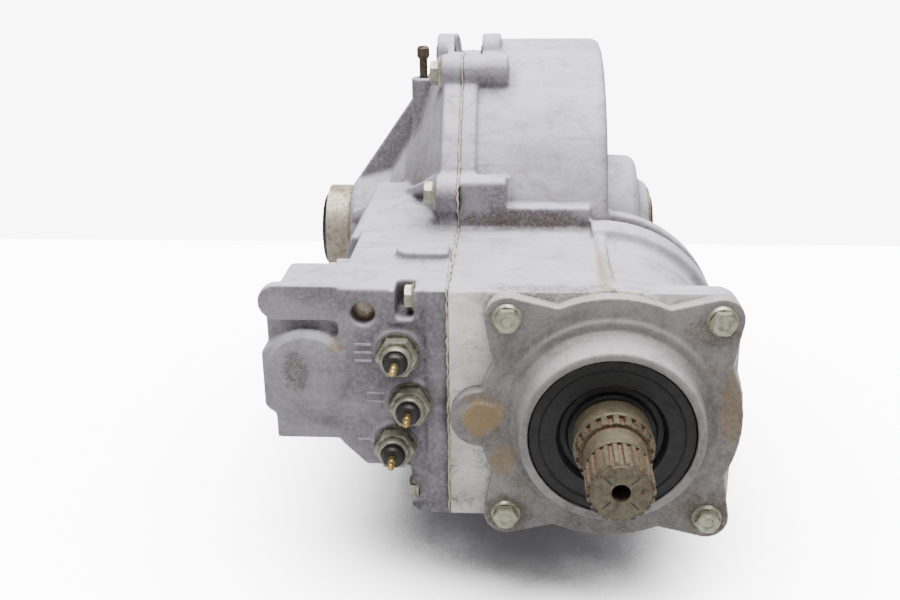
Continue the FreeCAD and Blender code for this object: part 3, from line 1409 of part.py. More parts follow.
keep("right_case", right_case())
keep("left_cover", left_cover())
keep("case_sealant", case_sealant())
keep("front_cover", front_cover())
keep("input_seal", input_seal())
keep("left_output_seal", output_seal(left_seal_x, hub_left_x + output_seal_width))
keep("right_output_seal", output_seal(right_seal_x, right_end_x - output_seal_width))
keep("left_hub_sleeve", washer_ring(output_axis, X, hub_core_r, hub_r, hub_left_x + 1,
                                    hub_left_x + hub_sleeve_length))
keep("right_seal_ring", washer_ring(output_axis, X, output_seal_r, output_seal_r + 4, right_end_x,
                                    right_end_x + 1.6))
keep("front_cover_bolts", Part.makeCompound(
    [bolt(m8, vec(x, cover_front_y, z), Y * -1, cover_bolt_length) for x, z in cover_bolt_places]))
keep("case_bolts_m10", Part.makeCompound(
    [bolt(m10, vec(bolt_boss_left_x, y, z), X * -1, m10_length) for y, z in m10_places]))
keep("case_bolts_m8", Part.makeCompound(
    [bolt(m8, vec(left_flange_x, y, z), X * -1, m8_length) for y, z in m8_places]))
keep("dowels", Part.makeCompound(
    [rod_x(y, z, dowel_r - fit_gap, parting_x - dowel_length / 2, parting_x + dowel_length / 2)
     for y, z in dowel_places]))
keep("hanger_bushes", Part.makeCompound(
    [washer_ring(vec(0, ear_y, ear_z), X, ear_bore_r - bush_wall, ear_bore_r, ends[0] - 1, ends[1])
     for ends in (ear_left, ear_right)]))
keep("oil_plugs", Part.makeCompound(
    [bolt(oil_plug, vec(plug_x, plug_span(h)[1], output_z + h), Y, plug_length) for h in plug_heights]))
keep("breather_tube", turned([
    (breather_top_z - 12, 1.5), (breather_top_z - 12, 3.0), (breather_top_z + 13, 3.0),
    (breather_top_z + 15, 4.6), (breather_top_z + 21, 4.6), (breather_top_z + 22.5, 3.4),
    (breather_top_z + 22.5, 1.5)], vec(breather_x, breather_y, 0), Z))
keep("switch_bodies", Part.makeCompound([switch_body(x, z) for x, z in switch_places]))
keep("switch_washers", Part.makeCompound(
    [washer_ring(vec(x, 0, z), Y, switch_thread_r, switch_washer_r, case_front_y - switch_washer,
                 case_front_y)
     for x, z in switch_places]))
keep("switch_insulators", Part.makeCompound([switch_insulator(x, z) for x, z in switch_places]))
keep("switch_terminals", Part.makeCompound([switch_terminal(x, z) for x, z in switch_places]))
for letter, (x, z) in zip("abc", switch_places):
    keep("switch_plunger_" + letter, switch_plunger(x, z))
detent_ball, detent_spring, detent_plug = detent_parts()
keep("detent_ball", detent_ball)
keep("detent_spring", detent_spring)
keep("detent_plug", detent_plug)

keep("front_bearing_outer", front_outer)
keep("front_bearing_inner", front_inner)
keep("front_bearing_rollers", front_rollers)
keep("pinion_outer_races", Part.makeCompound([a_outer, b_outer]))
keep("pinion_inner_races", Part.makeCompound([a_inner, b_inner]))
keep("pinion_rollers", Part.makeCompound([a_rollers, b_rollers]))
keep("carrier_outer_races", Part.makeCompound([l_outer, r_outer]))
keep("carrier_inner_races", Part.makeCompound([l_inner, r_inner]))
keep("carrier_rollers", Part.makeCompound([l_rollers, r_rollers]))
keep("carrier_shims", Part.makeCompound([
    washer_ring(output_axis, X, output_seal_r + 2, carrier_bearing_outer_r, carrier_left_end_x - shim,
                carrier_left_end_x),
    washer_ring(output_axis, X, output_seal_r + 2, carrier_bearing_outer_r, carrier_right_end_x,
                carrier_right_end_x + shim)]))

keep("input_shaft", input_shaft())
keep("front_bearing_circlip", washer_ring(input_axis, Y, front_bearing_bore_r - 1.5,
                                          front_bearing_bore_r + 2,
                                          bearing_y - 2, bearing_y))
keep("dog_sleeve", dog_sleeve())
keep("clutch_gear", clutch_gear())
keep("pilot_bush", washer_ring(input_axis, Y, nose_r + running_gap, nose_r + pilot_wall,
                               dog_y + dog_length + 2.5, dog_y + dog_length + pilot_length))
keep("pinion_shaft", pinion_shaft())
keep("pinion_nut", remove(hexagon(nut_across, nut_width, vec(0, nut_y, 0), Y),
                          [rod_y(0, 0, pinion_front_r, nut_y - 1, nut_y + nut_width + 1)]))
keep("pinion_spacer", washer_ring(input_axis, Y, pinion_front_r, pinion_front_r + spacer_wall, spacer_y,
                                  spacer_y + spacer_length))
keep("ring_gear", ring_gear())
keep("ring_gear_bolts", Part.makeCompound(
    [bolt(m10, vec(ring_back_x - carrier_flange, y, z), X * -1, carrier_flange + ring_bolt_bite) for y,
     z in ring_bolt_spots]))
carrier_case, carrier_cap = carrier_halves()
keep("carrier_case", carrier_case)
keep("carrier_cap", carrier_cap)
keep("carrier_cap_bolts", Part.makeCompound(
    [bolt(cap_bolt, vec(cap_face_x + cap_flange, y, z), X, cap_bolt_length) for y, z in cap_spots()]))
keep("cross_pin", cross_pin())
keep("cross_pin_lock", rod_x(output_y, output_z + lock_height, lock_r - fit_gap, lock_x + 0.2,
                             cap_face_x - 0.2))
keep("side_gear_left", side_gear(-1))
keep("side_gear_right", side_gear(1))
keep("spider_gear_top", spider_gear(1))
keep("spider_gear_bottom", spider_gear(-1))
keep("thrust_washers", thrust_washers())
keep("shift_fork", shift_fork())
keep("shift_rail", shift_rail())
keep("cam_follower", cam_follower())
keep("selector_drum", selector_drum())

for name, shape in nodes.items():
    shape.exportStep("parts/" + name + ".step")
print(len(nodes), "nodes")
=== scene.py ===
import math
import random

import bmesh
import bpy
from mathutils import Matrix, Vector
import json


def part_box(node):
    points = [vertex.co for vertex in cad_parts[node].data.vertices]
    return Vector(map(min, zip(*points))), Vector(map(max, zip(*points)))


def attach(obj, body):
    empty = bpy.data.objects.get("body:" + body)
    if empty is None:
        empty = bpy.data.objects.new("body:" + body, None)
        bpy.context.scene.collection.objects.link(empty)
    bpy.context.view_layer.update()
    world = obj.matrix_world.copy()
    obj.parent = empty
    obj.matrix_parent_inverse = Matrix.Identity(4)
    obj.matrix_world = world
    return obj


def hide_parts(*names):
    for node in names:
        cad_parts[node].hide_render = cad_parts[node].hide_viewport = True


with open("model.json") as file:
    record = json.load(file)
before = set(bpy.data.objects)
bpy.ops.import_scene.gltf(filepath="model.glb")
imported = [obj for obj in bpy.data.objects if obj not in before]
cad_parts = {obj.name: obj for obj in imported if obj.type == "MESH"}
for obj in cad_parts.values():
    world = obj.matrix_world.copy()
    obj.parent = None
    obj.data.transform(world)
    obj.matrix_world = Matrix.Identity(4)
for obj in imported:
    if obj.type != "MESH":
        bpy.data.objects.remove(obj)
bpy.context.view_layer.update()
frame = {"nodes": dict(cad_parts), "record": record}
print("frame loaded:", len(frame["nodes"]), "CAD nodes")

# places on the unit, in metres: read from the frame, then the top of the panel and the face of the shift box
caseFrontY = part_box("left_cover")[0][1]
partingX = (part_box("left_cover")[1][0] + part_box("right_case")[0][0]) / 2
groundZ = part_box("right_case")[0][2]
raceLow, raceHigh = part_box("carrier_outer_races")
outputY = (raceLow[1] + raceHigh[1]) / 2
outputZ = (raceLow[2] + raceHigh[2]) / 2
panelZ = 0.076
boxFaceY = caseFrontY + 0.002


# shader building blocks

def addNode(tree, kind, inputs=None, **attributes):
    # a node with its attributes and inputs set; an input may be a value or another node's output
    node = tree.nodes.new(kind)
    for key, value in attributes.items():
        setattr(node, key, value)
    for key, value in (inputs or {}).items():
        if isinstance(value, bpy.types.NodeSocket):
            tree.links.new(value, node.inputs[key])
        else:
            node.inputs[key].default_value = value
    return node


def newGroup(name, inputs, outputs):
    tree = bpy.data.node_groups.new(name, "ShaderNodeTree")
    # a node group: inputs as (name, kind, value), outputs as (name, kind)
    kinds = {"color": "NodeSocketColor", "value": "NodeSocketFloat"}
    for key, kind, value in inputs:
        socket = tree.interface.new_socket(key, in_out="INPUT", socket_type=kinds[kind])
        socket.default_value = value
    for key, kind in outputs:
        tree.interface.new_socket(key, in_out="OUTPUT", socket_type=kinds[kind])
    source = tree.nodes.new("NodeGroupInput")
    result = tree.nodes.new("NodeGroupOutput")
    return tree, source.outputs, result.inputs


def noise(tree, vector, scale, detail=4.0, roughness=0.55, distortion=0.0):
    # noise around 0.5
    node = addNode(tree, "ShaderNodeTexNoise", {"Vector": vector, "Scale": scale, "Detail": detail,
                                                "Roughness": roughness, "Distortion": distortion})
    return node.outputs[0]


def remap(tree, value, low, high, start=0.0, end=1.0):
    # a soft step from start at low to end at high
    node = addNode(tree, "ShaderNodeMapRange", {"Value": value, "From Min": low, "From Max": high,
                                                "To Min": start, "To Max": end})
    node.interpolation_type = "SMOOTHSTEP"
    return node.outputs[0]


def compute(tree, operation, first, second=0.5):
    return addNode(tree, "ShaderNodeMath", {0: first, 1: second}, operation=operation).outputs[0]


def blend(tree, share, first, second, mode="MIX"):
    # first where share is 0 and second where it is 1
    node = tree.nodes.new("ShaderNodeMix")
    node.data_type = "RGBA"
    node.blend_type = mode
    for index, value in ((0, share), (6, first), (7, second)):
        if isinstance(value, bpy.types.NodeSocket):
            tree.links.new(value, node.inputs[index])
        else:
            node.inputs[index].default_value = value
    return node.outputs[2]


def occlusion(tree, reach, samples, inside=False):
    # low near corners, or near sharp edges when it looks inside
    node = addNode(tree, "ShaderNodeAmbientOcclusion", {"Distance": reach}, samples=samples, inside=inside)
    return node.outputs["AO"]


def rgb(red, green, blue):
    # sRGB bytes to linear colour
    return tuple((v / 255 / 12.92) if v / 255 <= 0.04045 else ((v / 255 + 0.055) / 1.055) ** 2.4
                 for v in (red, green, blue)) + (1.0,)


# noises of the cast skin: scale, detail, roughness and distortion
skinNoise = {
    "wide": (16.0, 6.0, 0.62, 0.5), "patch": (75.0, 8.0, 0.7, 0.7), "cloud": (48.0, 7.0, 0.68, 0.9),
    "blot": (38.0, 8.0, 0.75, 1.2), "speck": (420.0, 4.0, 0.7), "pits": (900.0, 3.0, 0.6),
    "streak": (1.0, 6.0, 0.68, 0.6),
}
streakStretch = (22.0, 60.0, 160.0)
cornerShadeReach = 0.011
edgeReach = 0.0016


def makeCastSkin():
    # cast aluminium: sand grain, smudges, pits, painted shade with oily grime in corners, pale worn edges,
    # and a painted highlight on faces that point up
    tree, given, result = newGroup("castSkin", [
        ("Base", "color", rgb(150, 148, 152)), ("Dark", "color", rgb(110, 106, 110)),
        ("Dirt And Shade Tint", "color", rgb(60, 55, 48)), ("Pale", "color", rgb(200, 198, 203)),
        ("Stain", "color", rgb(130, 105, 70)), ("Corner Shade And Dirt Amount", "value", 0.6), ("Stain Amount", "value", 0.3),
        ("Painted Top Light Amount", "value", 0.6), ("Grain Scale", "value", 900.0),
    ], [("Color", "color"), ("Roughness", "value"), ("Height", "value")])
    place = addNode(tree, "ShaderNodeTexCoord").outputs["Object"]
    normal = addNode(tree, "ShaderNodeNewGeometry").outputs["Normal"]
    wide = noise(tree, place, *skinNoise["wide"])
    patch = noise(tree, place, *skinNoise["patch"])
    drawn = addNode(tree, "ShaderNodeMapping", {"Vector": place, "Scale": streakStretch}).outputs[0]
    streak = noise(tree, drawn, *skinNoise["streak"])
    speck = noise(tree, place, *skinNoise["speck"])
    grain = noise(tree, place, given["Grain Scale"], 2.0, 0.7)
    color = blend(tree, remap(tree, wide, 0.32, 0.68), given["Dark"], given["Base"])
    up = addNode(tree, "ShaderNodeSeparateXYZ", {0: normal}).outputs[2]
    # painted highlight: faces that point up are blended towards Pale, as light from above would brighten them
    top = compute(tree, "MULTIPLY", remap(tree, up, 0.0, 0.85), remap(tree, wide, 0.25, 0.6, 0.7, 1.0))
    color = blend(tree, compute(tree, "MULTIPLY", top, given["Painted Top Light Amount"]), color, given["Pale"])
    spread = remap(tree, patch, 0.35, 0.65, 0.1, 0.5)
    smudge = compute(tree, "MULTIPLY", remap(tree, streak, 0.48, 0.7), spread)
    color = blend(tree, smudge, color, given["Dark"])
    cloud = noise(tree, place, *skinNoise["cloud"])
    color = blend(tree, remap(tree, cloud, 0.5, 0.68, 0.0, 0.42), color, given["Dark"])
    color = blend(tree, remap(tree, speck, 0.35, 0.7, 0.0, 0.28), color, given["Pale"])
    color = blend(tree, remap(tree, grain, 0.45, 0.75, 0.0, 0.35), color, given["Dark"])
    # painted shade with grime: corners found by occlusion are darkened, as shade would darken them, with a
    # ragged edge
    corner = occlusion(tree, cornerShadeReach, 6)
    ragged = remap(tree, patch, 0.3, 0.6, 0.3, 1.0)
    cornerShadeAndGrime = compute(tree, "MULTIPLY", remap(tree, corner, 0.96, 0.4), ragged)
    color = blend(tree, compute(tree, "MULTIPLY", cornerShadeAndGrime, given["Corner Shade And Dirt Amount"]), color, given["Dirt And Shade Tint"])
    blot = noise(tree, place, *skinNoise["blot"])
    stain = compute(tree, "MULTIPLY", remap(tree, blot, 0.56, 0.7), given["Stain Amount"])
    stain = compute(tree, "MULTIPLY", stain, remap(tree, speck, 0.35, 0.6, 0.3, 1.0))
    color = blend(tree, stain, color, given["Stain"])
    edge = occlusion(tree, edgeReach, 5, inside=True)
    rubbed = remap(tree, patch, 0.35, 0.6, 0.1, 0.7)
    worn = compute(tree, "MULTIPLY", remap(tree, edge, 0.88, 0.55), rubbed)
    color = blend(tree, worn, color, given["Pale"])
    pits = remap(tree, noise(tree, place, *skinNoise["pits"]), 0.66, 0.74)
    pits = compute(tree, "MULTIPLY", pits, remap(tree, blot, 0.5, 0.66, 0.0, 0.8))
    color = blend(tree, pits, color, given["Dirt And Shade Tint"])
    tree.links.new(color, result["Color"])
    rough = remap(tree, patch, 0.3, 0.7, 0.5, 0.72)
    rough = compute(tree, "ADD", rough, compute(tree, "MULTIPLY", cornerShadeAndGrime, 0.15))
    tree.links.new(rough, result["Roughness"])
    height = compute(tree, "MULTIPLY", grain, 0.5)
    height = compute(tree, "ADD", height, compute(tree, "MULTIPLY", speck, 0.8))
    height = compute(tree, "ADD", height, compute(tree, "MULTIPLY", patch, 1.4))
    tree.links.new(compute(tree, "SUBTRACT", height, pits), result["Height"])
    return tree


rustReach = 0.004


def makeRust():
    # brown rust that grows over a metal from its corners
    tree, given, result = newGroup("rustCover", [
        ("Metal", "color", rgb(150, 148, 146)), ("Rust", "color", rgb(112, 72, 44)),
        ("Dark Rust", "color", rgb(58, 38, 26)), ("Amount", "value", 0.5), ("Scale", "value", 120.0),
        ("Shine", "value", 1.0),
    ], [("Color", "color"), ("Metallic", "value"), ("Roughness", "value"), ("Height", "value")])
    place = addNode(tree, "ShaderNodeTexCoord").outputs["Object"]
    spread = noise(tree, place, given["Scale"], 8.0, 0.7, 0.5)
    tone = noise(tree, place, 800.0, 4.0, 0.65)
    dull = noise(tree, place, 260.0, 6.0, 0.7)
    corner = occlusion(tree, rustReach, 5)
    near = compute(tree, "ADD", spread, remap(tree, corner, 1.0, 0.4, 0.0, 0.3))
    limit = compute(tree, "SUBTRACT", 0.84, compute(tree, "MULTIPLY", given["Amount"], 0.55))
    share = addNode(tree, "ShaderNodeMapRange", {"Value": near, "From Min": limit, "To Min": 0.0,
                                                 "To Max": 1.0})
    tree.links.new(compute(tree, "ADD", limit, 0.16), share.inputs["From Max"])
    rusty = blend(tree, remap(tree, tone, 0.35, 0.65), given["Rust"], given["Dark Rust"])
    metal = blend(tree, remap(tree, dull, 0.4, 0.7, 0.0, 0.5), given["Metal"], given["Dark Rust"])
    tree.links.new(blend(tree, share.outputs[0], metal, rusty), result["Color"])
    bare = compute(tree, "SUBTRACT", 1.0, share.outputs[0])
    tree.links.new(compute(tree, "MULTIPLY", bare, given["Shine"]), result["Metallic"])
    worn = remap(tree, dull, 0.3, 0.7, 0.34, 0.52)
    tree.links.new(addNode(tree, "ShaderNodeMix", {0: share.outputs[0], 2: worn, 3: 0.88}).outputs[0],
                   result["Roughness"])
    height = compute(tree, "MULTIPLY", tone, remap(tree, share.outputs[0], 0.0, 1.0, 0.25, 1.0))
    tree.links.new(height, result["Height"])
    return tree


castSkin = makeCastSkin()
rustCover = makeRust()


def newMaterial(name):
    material = bpy.data.materials.new(name)
    material.use_nodes = True
    shader = material.node_tree.nodes["Principled BSDF"]
    return material, material.node_tree, shader


def bumpFrom(tree, shader, height, strength, distance):
    bump = addNode(tree, "ShaderNodeBump", {"Height": height, "Strength": strength, "Distance": distance})
    tree.links.new(bump.outputs[0], shader.inputs["Normal"])


def spotShare(tree, place, centre, reach):
    # 1 inside a patch with a ragged, broken edge and 0 outside
    away = addNode(tree, "ShaderNodeVectorMath", {0: place, 1: centre}, operation="SUBTRACT").outputs[0]
    scaled = addNode(tree, "ShaderNodeVectorMath", {0: away, 1: [1 / r for r in reach]}, operation="MULTIPLY")
    length = addNode(tree, "ShaderNodeVectorMath", {0: scaled.outputs[0]}, operation="LENGTH")
    length = length.outputs["Value"]
    ragged = compute(tree, "SUBTRACT", noise(tree, place, 130.0, 8.0, 0.75, 0.4), 0.5)
    length = compute(tree, "ADD", length, compute(tree, "MULTIPLY", ragged, 2.4))
    mottle = remap(tree, noise(tree, place, 520.0, 5.0, 0.7), 0.35, 0.62, 0.35, 1.0)
    return compute(tree, "MULTIPLY", remap(tree, length, 1.1, 0.55), mottle)


def castMaterial(name, look, spots=()):
    # cast aluminium with its stains, and a milled face where the look names one
    material, tree, shader = newMaterial(name)
    skin = tree.nodes.new("ShaderNodeGroup")
    skin.node_tree = castSkin
    for key in ("Base", "Dark", "Dirt And Shade Tint", "Pale", "Stain", "Corner Shade And Dirt Amount", "Stain Amount", "Painted Top Light Amount",
                "Grain Scale"):
        skin.inputs[key].default_value = look[key]
    color = skin.outputs["Color"]
    rough = skin.outputs["Roughness"]
    place = addNode(tree, "ShaderNodeTexCoord").outputs["Object"]
    if "milledY" in look:
        # a milled face: brighter, with dirt pressed into it
        depth = addNode(tree, "ShaderNodeSeparateXYZ", {0: place}).outputs[1]
        away = compute(tree, "ABSOLUTE", compute(tree, "SUBTRACT", depth, look["milledY"]))
        dirty = remap(tree, noise(tree, place, 90.0, 10.0, 0.8, 1.0), 0.5, 0.66, 1.0, 0.2)
        clean = compute(tree, "MULTIPLY", remap(tree, away, 0.0008, 0.0004), dirty)
        milled = blend(tree, remap(tree, noise(tree, place, 30.0, 5.0, 0.6), 0.35, 0.65), look["Milled"],
                       look["Milled Dull"])
        color = blend(tree, clean, color, milled)
        rough = addNode(tree, "ShaderNodeMix", {0: clean, 2: rough, 3: 0.42}).outputs[0]
    for centre, reach, tint, amount in spots:
        share = compute(tree, "MULTIPLY", spotShare(tree, place, centre, reach), amount)
        color = blend(tree, share, color, tint)
    tree.links.new(color, shader.inputs["Base Color"])
    tree.links.new(rough, shader.inputs["Roughness"])
    shader.inputs["Metallic"].default_value = look["metallic"]
    shader.inputs["Specular IOR Level"].default_value = 0.35
    bumpFrom(tree, shader, skin.outputs["Height"], look["bump"], 0.0005)
    return material


def rustMaterial(name, look):
    # steel or soft metal under more or less rust
    material, tree, shader = newMaterial(name)
    rust = tree.nodes.new("ShaderNodeGroup")
    rust.node_tree = rustCover
    for key in ("Metal", "Rust", "Dark Rust", "Amount", "Scale", "Shine"):
        if key in look:
            rust.inputs[key].default_value = look[key]
    tree.links.new(rust.outputs["Color"], shader.inputs["Base Color"])
    tree.links.new(rust.outputs["Metallic"], shader.inputs["Metallic"])
    tree.links.new(rust.outputs["Roughness"], shader.inputs["Roughness"])
    bumpFrom(tree, shader, rust.outputs["Height"], 0.6, 0.0003)
    return material


def plainMaterial(name, look):
    # rubber, plastic, sealant, brass: a tint that varies, dust and a fine surface
    material, tree, shader = newMaterial(name)
    place = addNode(tree, "ShaderNodeTexCoord").outputs["Object"]
    tone = noise(tree, place, look["scale"], 6.0, 0.65, 0.4)
    dust = remap(tree, noise(tree, place, look["scale"] * 3, 5.0, 0.7), 0.5, 0.75)
    dust = compute(tree, "MULTIPLY", dust, look["dust"])
    color = blend(tree, remap(tree, tone, 0.35, 0.65), look["Base"], look["Second"])
    tree.links.new(blend(tree, dust, color, look["Dust"]), shader.inputs["Base Color"])
    low, high = look["roughness"]
    tree.links.new(remap(tree, tone, 0.3, 0.7, low, high), shader.inputs["Roughness"])
    shader.inputs["Metallic"].default_value = look.get("metallic", 0.0)
    bumpFrom(tree, shader, noise(tree, place, look["scale"] * 8, 3.0), look["bump"], 0.0002)
    return material


castLook = {
    "Base": rgb(156, 152, 159), "Dark": rgb(104, 100, 104), "Dirt And Shade Tint": rgb(50, 46, 41),
    "Pale": rgb(196, 193, 205), "Stain": rgb(112, 95, 68), "Corner Shade And Dirt Amount": 0.85, "Stain Amount": 0.35,
    "Painted Top Light Amount": 0.9, "Grain Scale": 1300.0, "metallic": 0.1, "bump": 0.55,
}
milledLook = dict(castLook, milledY=caseFrontY)
milledLook["Milled"] = rgb(234, 233, 227)
milledLook["Milled Dull"] = rgb(204, 201, 192)
coverLook = {
    "Base": rgb(150, 146, 144), "Dark": rgb(100, 95, 92), "Dirt And Shade Tint": rgb(48, 42, 36),
    "Pale": rgb(180, 177, 178), "Stain": rgb(118, 90, 52), "Corner Shade And Dirt Amount": 0.9, "Stain Amount": 0.5,
    "Painted Top Light Amount": 0.6, "Grain Scale": 1200.0, "metallic": 0.1, "bump": 0.6,
}
ochre = rgb(146, 120, 74)
brown = rgb(82, 65, 46)
# stains: centre, reach and tint, then how much they cover
coverSpots = [
    (Vector((-0.0737, caseFrontY - 0.010, 0.0016)), (0.015, 0.010, 0.015), ochre, 0.95),
    (Vector((0.070, caseFrontY - 0.008, 0.012)), (0.009, 0.010, 0.028), ochre, 0.5),
    (Vector((-0.062, caseFrontY - 0.010, -0.026)), (0.010, 0.008, 0.012), ochre, 0.55),
    (Vector((0.056, caseFrontY - 0.010, 0.056)), (0.016, 0.008, 0.012), brown, 0.6),
    (Vector((-0.058, caseFrontY - 0.010, -0.062)), (0.016, 0.010, 0.015), brown, 0.7),
    (Vector((0.060, caseFrontY - 0.010, -0.060)), (0.016, 0.010, 0.015), brown, 0.8),
]
panelSpots = [
    (Vector((-0.036, 0.093, panelZ)), (0.042, 0.009, 0.010), brown, 0.7),
    (Vector((-0.003, 0.110, panelZ + 0.002)), (0.006, 0.060, 0.010), ochre, 0.65),
    # painted shade with brown dirt: a brown patch darkens the front face of the wall behind the panel
    (Vector((-0.050, 0.209, panelZ + 0.006)), (0.055, 0.006, 0.010), brown, 0.75),
    (Vector((-0.050, 0.150, -0.062)), (0.070, 0.070, 0.016), brown, 0.6),
]
leftSpots = [
    (Vector((-0.183, boxFaceY, 0.025)), (0.010, 0.010, 0.014), brown, 0.65),
    (Vector((-0.160, boxFaceY, 0.040)), (0.005, 0.006, 0.006), ochre, 0.7),
    (Vector((-0.119, 0.100, -0.055)), (0.012, 0.020, 0.024), brown, 0.75),
    (Vector((-0.178, 0.300, 0.075)), (0.010, 0.050, 0.012), brown, 0.5),
]

finishes = {
    "cast_aluminium": castMaterial("castAluminium", milledLook, panelSpots),
    "cover_casting": castMaterial("coverCasting", coverLook, coverSpots),
    "sealant": plainMaterial("creamSealant", {
        "Base": rgb(208, 200, 178), "Second": rgb(178, 166, 138), "Dust": rgb(108, 92, 68), "dust": 0.5,
        "scale": 150.0, "roughness": (0.45, 0.7), "bump": 0.3}),
    "black_rubber": plainMaterial("blackRubber", {
        "Base": rgb(9, 9, 10), "Second": rgb(18, 17, 17), "Dust": rgb(70, 62, 52), "dust": 0.12,
        "scale": 180.0, "roughness": (0.5, 0.7), "bump": 0.25}),
    "shaft_steel": rustMaterial("rustySplineSteel", {
        "Metal": rgb(100, 95, 78), "Rust": rgb(108, 80, 52), "Dark Rust": rgb(50, 39, 30), "Amount": 0.58,
        "Scale": 150.0, "Shine": 0.45}),
    "yellow_zinc": rustMaterial("yellowZinc", {
        "Metal": rgb(176, 173, 154), "Rust": rgb(116, 92, 60), "Dark Rust": rgb(74, 62, 46), "Amount": 0.32,
        "Scale": 220.0, "Shine": 0.6}),
    "plain_steel": rustMaterial("turnedSteel", {
        "Metal": rgb(170, 160, 144), "Rust": rgb(130, 98, 62), "Dark Rust": rgb(84, 62, 42), "Amount": 0.6,
        "Scale": 70.0, "Shine": 0.4}),
    "rusted_steel": rustMaterial("rustedSteel", {
        "Metal": rgb(92, 80, 66), "Rust": rgb(84, 62, 42), "Dark Rust": rgb(44, 34, 27), "Amount": 0.8,
        "Scale": 160.0, "Shine": 0.3}),
    "switch_steel": rustMaterial("switchSteel", {
        "Metal": rgb(160, 156, 142), "Rust": rgb(98, 86, 64), "Dark Rust": rgb(64, 57, 46), "Amount": 0.36,
        "Scale": 260.0, "Shine": 0.6}),
    "soft_aluminium": rustMaterial("washerAluminium", {
        "Metal": rgb(128, 126, 116), "Rust": rgb(84, 79, 68), "Dark Rust": rgb(58, 54, 47), "Amount": 0.45,
        "Scale": 240.0, "Shine": 0.4}),
    "black_plastic": plainMaterial("blackPlastic", {
        "Base": rgb(20, 20, 20), "Second": rgb(30, 29, 28), "Dust": rgb(86, 78, 64), "dust": 0.3,
        "scale": 220.0, "roughness": (0.4, 0.6), "bump": 0.15}),
    "brass": plainMaterial("drawnBrass", {
        "Base": rgb(200, 178, 120), "Second": rgb(164, 134, 82), "Dust": rgb(100, 80, 50), "dust": 0.45,
        "scale": 260.0, "roughness": (0.26, 0.45), "bump": 0.15, "metallic": 0.9}),
    "gear_steel": rustMaterial("oiledGearSteel", {
        "Metal": rgb(128, 128, 132), "Rust": rgb(84, 72, 58), "Dark Rust": rgb(50, 44, 38), "Amount": 0.12,
        "Scale": 120.0}),
    "bearing_steel": rustMaterial("groundSteel", {
        "Metal": rgb(190, 190, 194), "Rust": rgb(110, 96, 76), "Dark Rust": rgb(70, 60, 50), "Amount": 0.05,
        "Scale": 150.0}),
    "cast_iron": rustMaterial("oiledCastIron", {
        "Metal": rgb(96, 94, 92), "Rust": rgb(72, 62, 52), "Dark Rust": rgb(46, 40, 36), "Amount": 0.4,
        "Scale": 110.0}),
    "bronze": plainMaterial("sinteredBronze", {
        "Base": rgb(164, 122, 76), "Second": rgb(134, 96, 60), "Dust": rgb(80, 62, 44), "dust": 0.3,
        "scale": 200.0, "roughness": (0.35, 0.55), "bump": 0.2, "metallic": 1.0}),
}
leftFinish = castMaterial("leftCasting", castLook, leftSpots)
slotOf = {entry["node"]: entry["material_slot"] for entry in frame["record"]["subparts"]}
for nodeName, piece in frame["nodes"].items():
    piece.data.materials.clear()
    piece.data.materials.append(leftFinish if nodeName == "left_cover" else finishes[slotOf[nodeName]])
print("materials made:", len(finishes))


# the three castings as poured: rounded corners, soft fillets and crisp milled faces

castings = {
    "right_case": {"voxel": 0.0015, "turns": 4, "faces": 190000},
    "left_cover": {"voxel": 0.0015, "turns": 4, "faces": 190000},
    "front_cover": {"voxel": 0.0009, "turns": 4, "faces": 120000},
}


def mergedCopy(nodeName, name):
    # a copy of a node's mesh with its doubled corners joined
    source = frame["nodes"][nodeName]
    piece = bpy.data.objects.new(name, source.data.copy())
    bpy.context.collection.objects.link(piece)
    mesh = bmesh.new()
    mesh.from_mesh(piece.data)
    bmesh.ops.remove_doubles(mesh, verts=mesh.verts, dist=0.00001)
    mesh.to_mesh(piece.data)
    mesh.free()
    return piece


def applyModifier(piece, kind, **values):
    modifier = piece.modifiers.new(kind.lower(), kind)
    for key, value in values.items():
        setattr(modifier, key, value)
    with bpy.context.temp_override(object=piece, active_object=piece, selected_objects=[piece]):
        bpy.ops.object.modifier_apply(modifier=modifier.name)


crisp = {"depth": 0.0012, "boreRadius": 0.036, "rightX": 0.036, "leftX": -0.185}


def isMachined(place):
    # the joint faces and the bores of the axle seals stay crisp
    fromAxle = math.hypot(place.y - outputY, place.z - outputZ)
    milled = min(abs(place.y - caseFrontY), abs(place.x - partingX)) < crisp["depth"]
    outer = place.x > crisp["rightX"] or place.x < crisp["leftX"]
    return milled or (fromAxle < crisp["boreRadius"] and outer)


def pourCasting(nodeName, size):
    piece = mergedCopy(nodeName, nodeName + "_casting")
    applyModifier(piece, "REMESH", mode="VOXEL", voxel_size=size["voxel"], adaptivity=0.0)
    soft = [vertex.index for vertex in piece.data.vertices if not isMachined(vertex.co)]
    piece.vertex_groups.new(name="soft").add(soft, 1.0, "REPLACE")
    applyModifier(piece, "SMOOTH", factor=0.5, iterations=size["turns"], vertex_group="soft")
    share = size["faces"] / (2 * len(piece.data.polygons))
    if share < 1:
        applyModifier(piece, "DECIMATE", ratio=share)
    for polygon in piece.data.polygons:
        polygon.use_smooth = True
    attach(piece, "housing")
    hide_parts(nodeName)
    print(nodeName, "poured,", len(piece.data.polygons), "faces")


for nodeName, size in castings.items():
    pourCasting(nodeName, size)


def finishPiece(mesh, name, bevel, material):
    # a closed piece of the housing made of a bmesh
    bmesh.ops.recalc_face_normals(mesh, faces=mesh.faces)
    data = bpy.data.meshes.new(name)
    mesh.to_mesh(data)
    mesh.free()
    piece = bpy.data.objects.new(name, data)
    bpy.context.collection.objects.link(piece)
    if bevel:
        applyModifier(piece, "BEVEL", width=bevel, segments=2)
    for polygon in piece.data.polygons:
        polygon.use_smooth = not bevel
    piece.data.materials.append(material)
    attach(piece, "housing")


# the cream sealant that was pressed out along the parting line

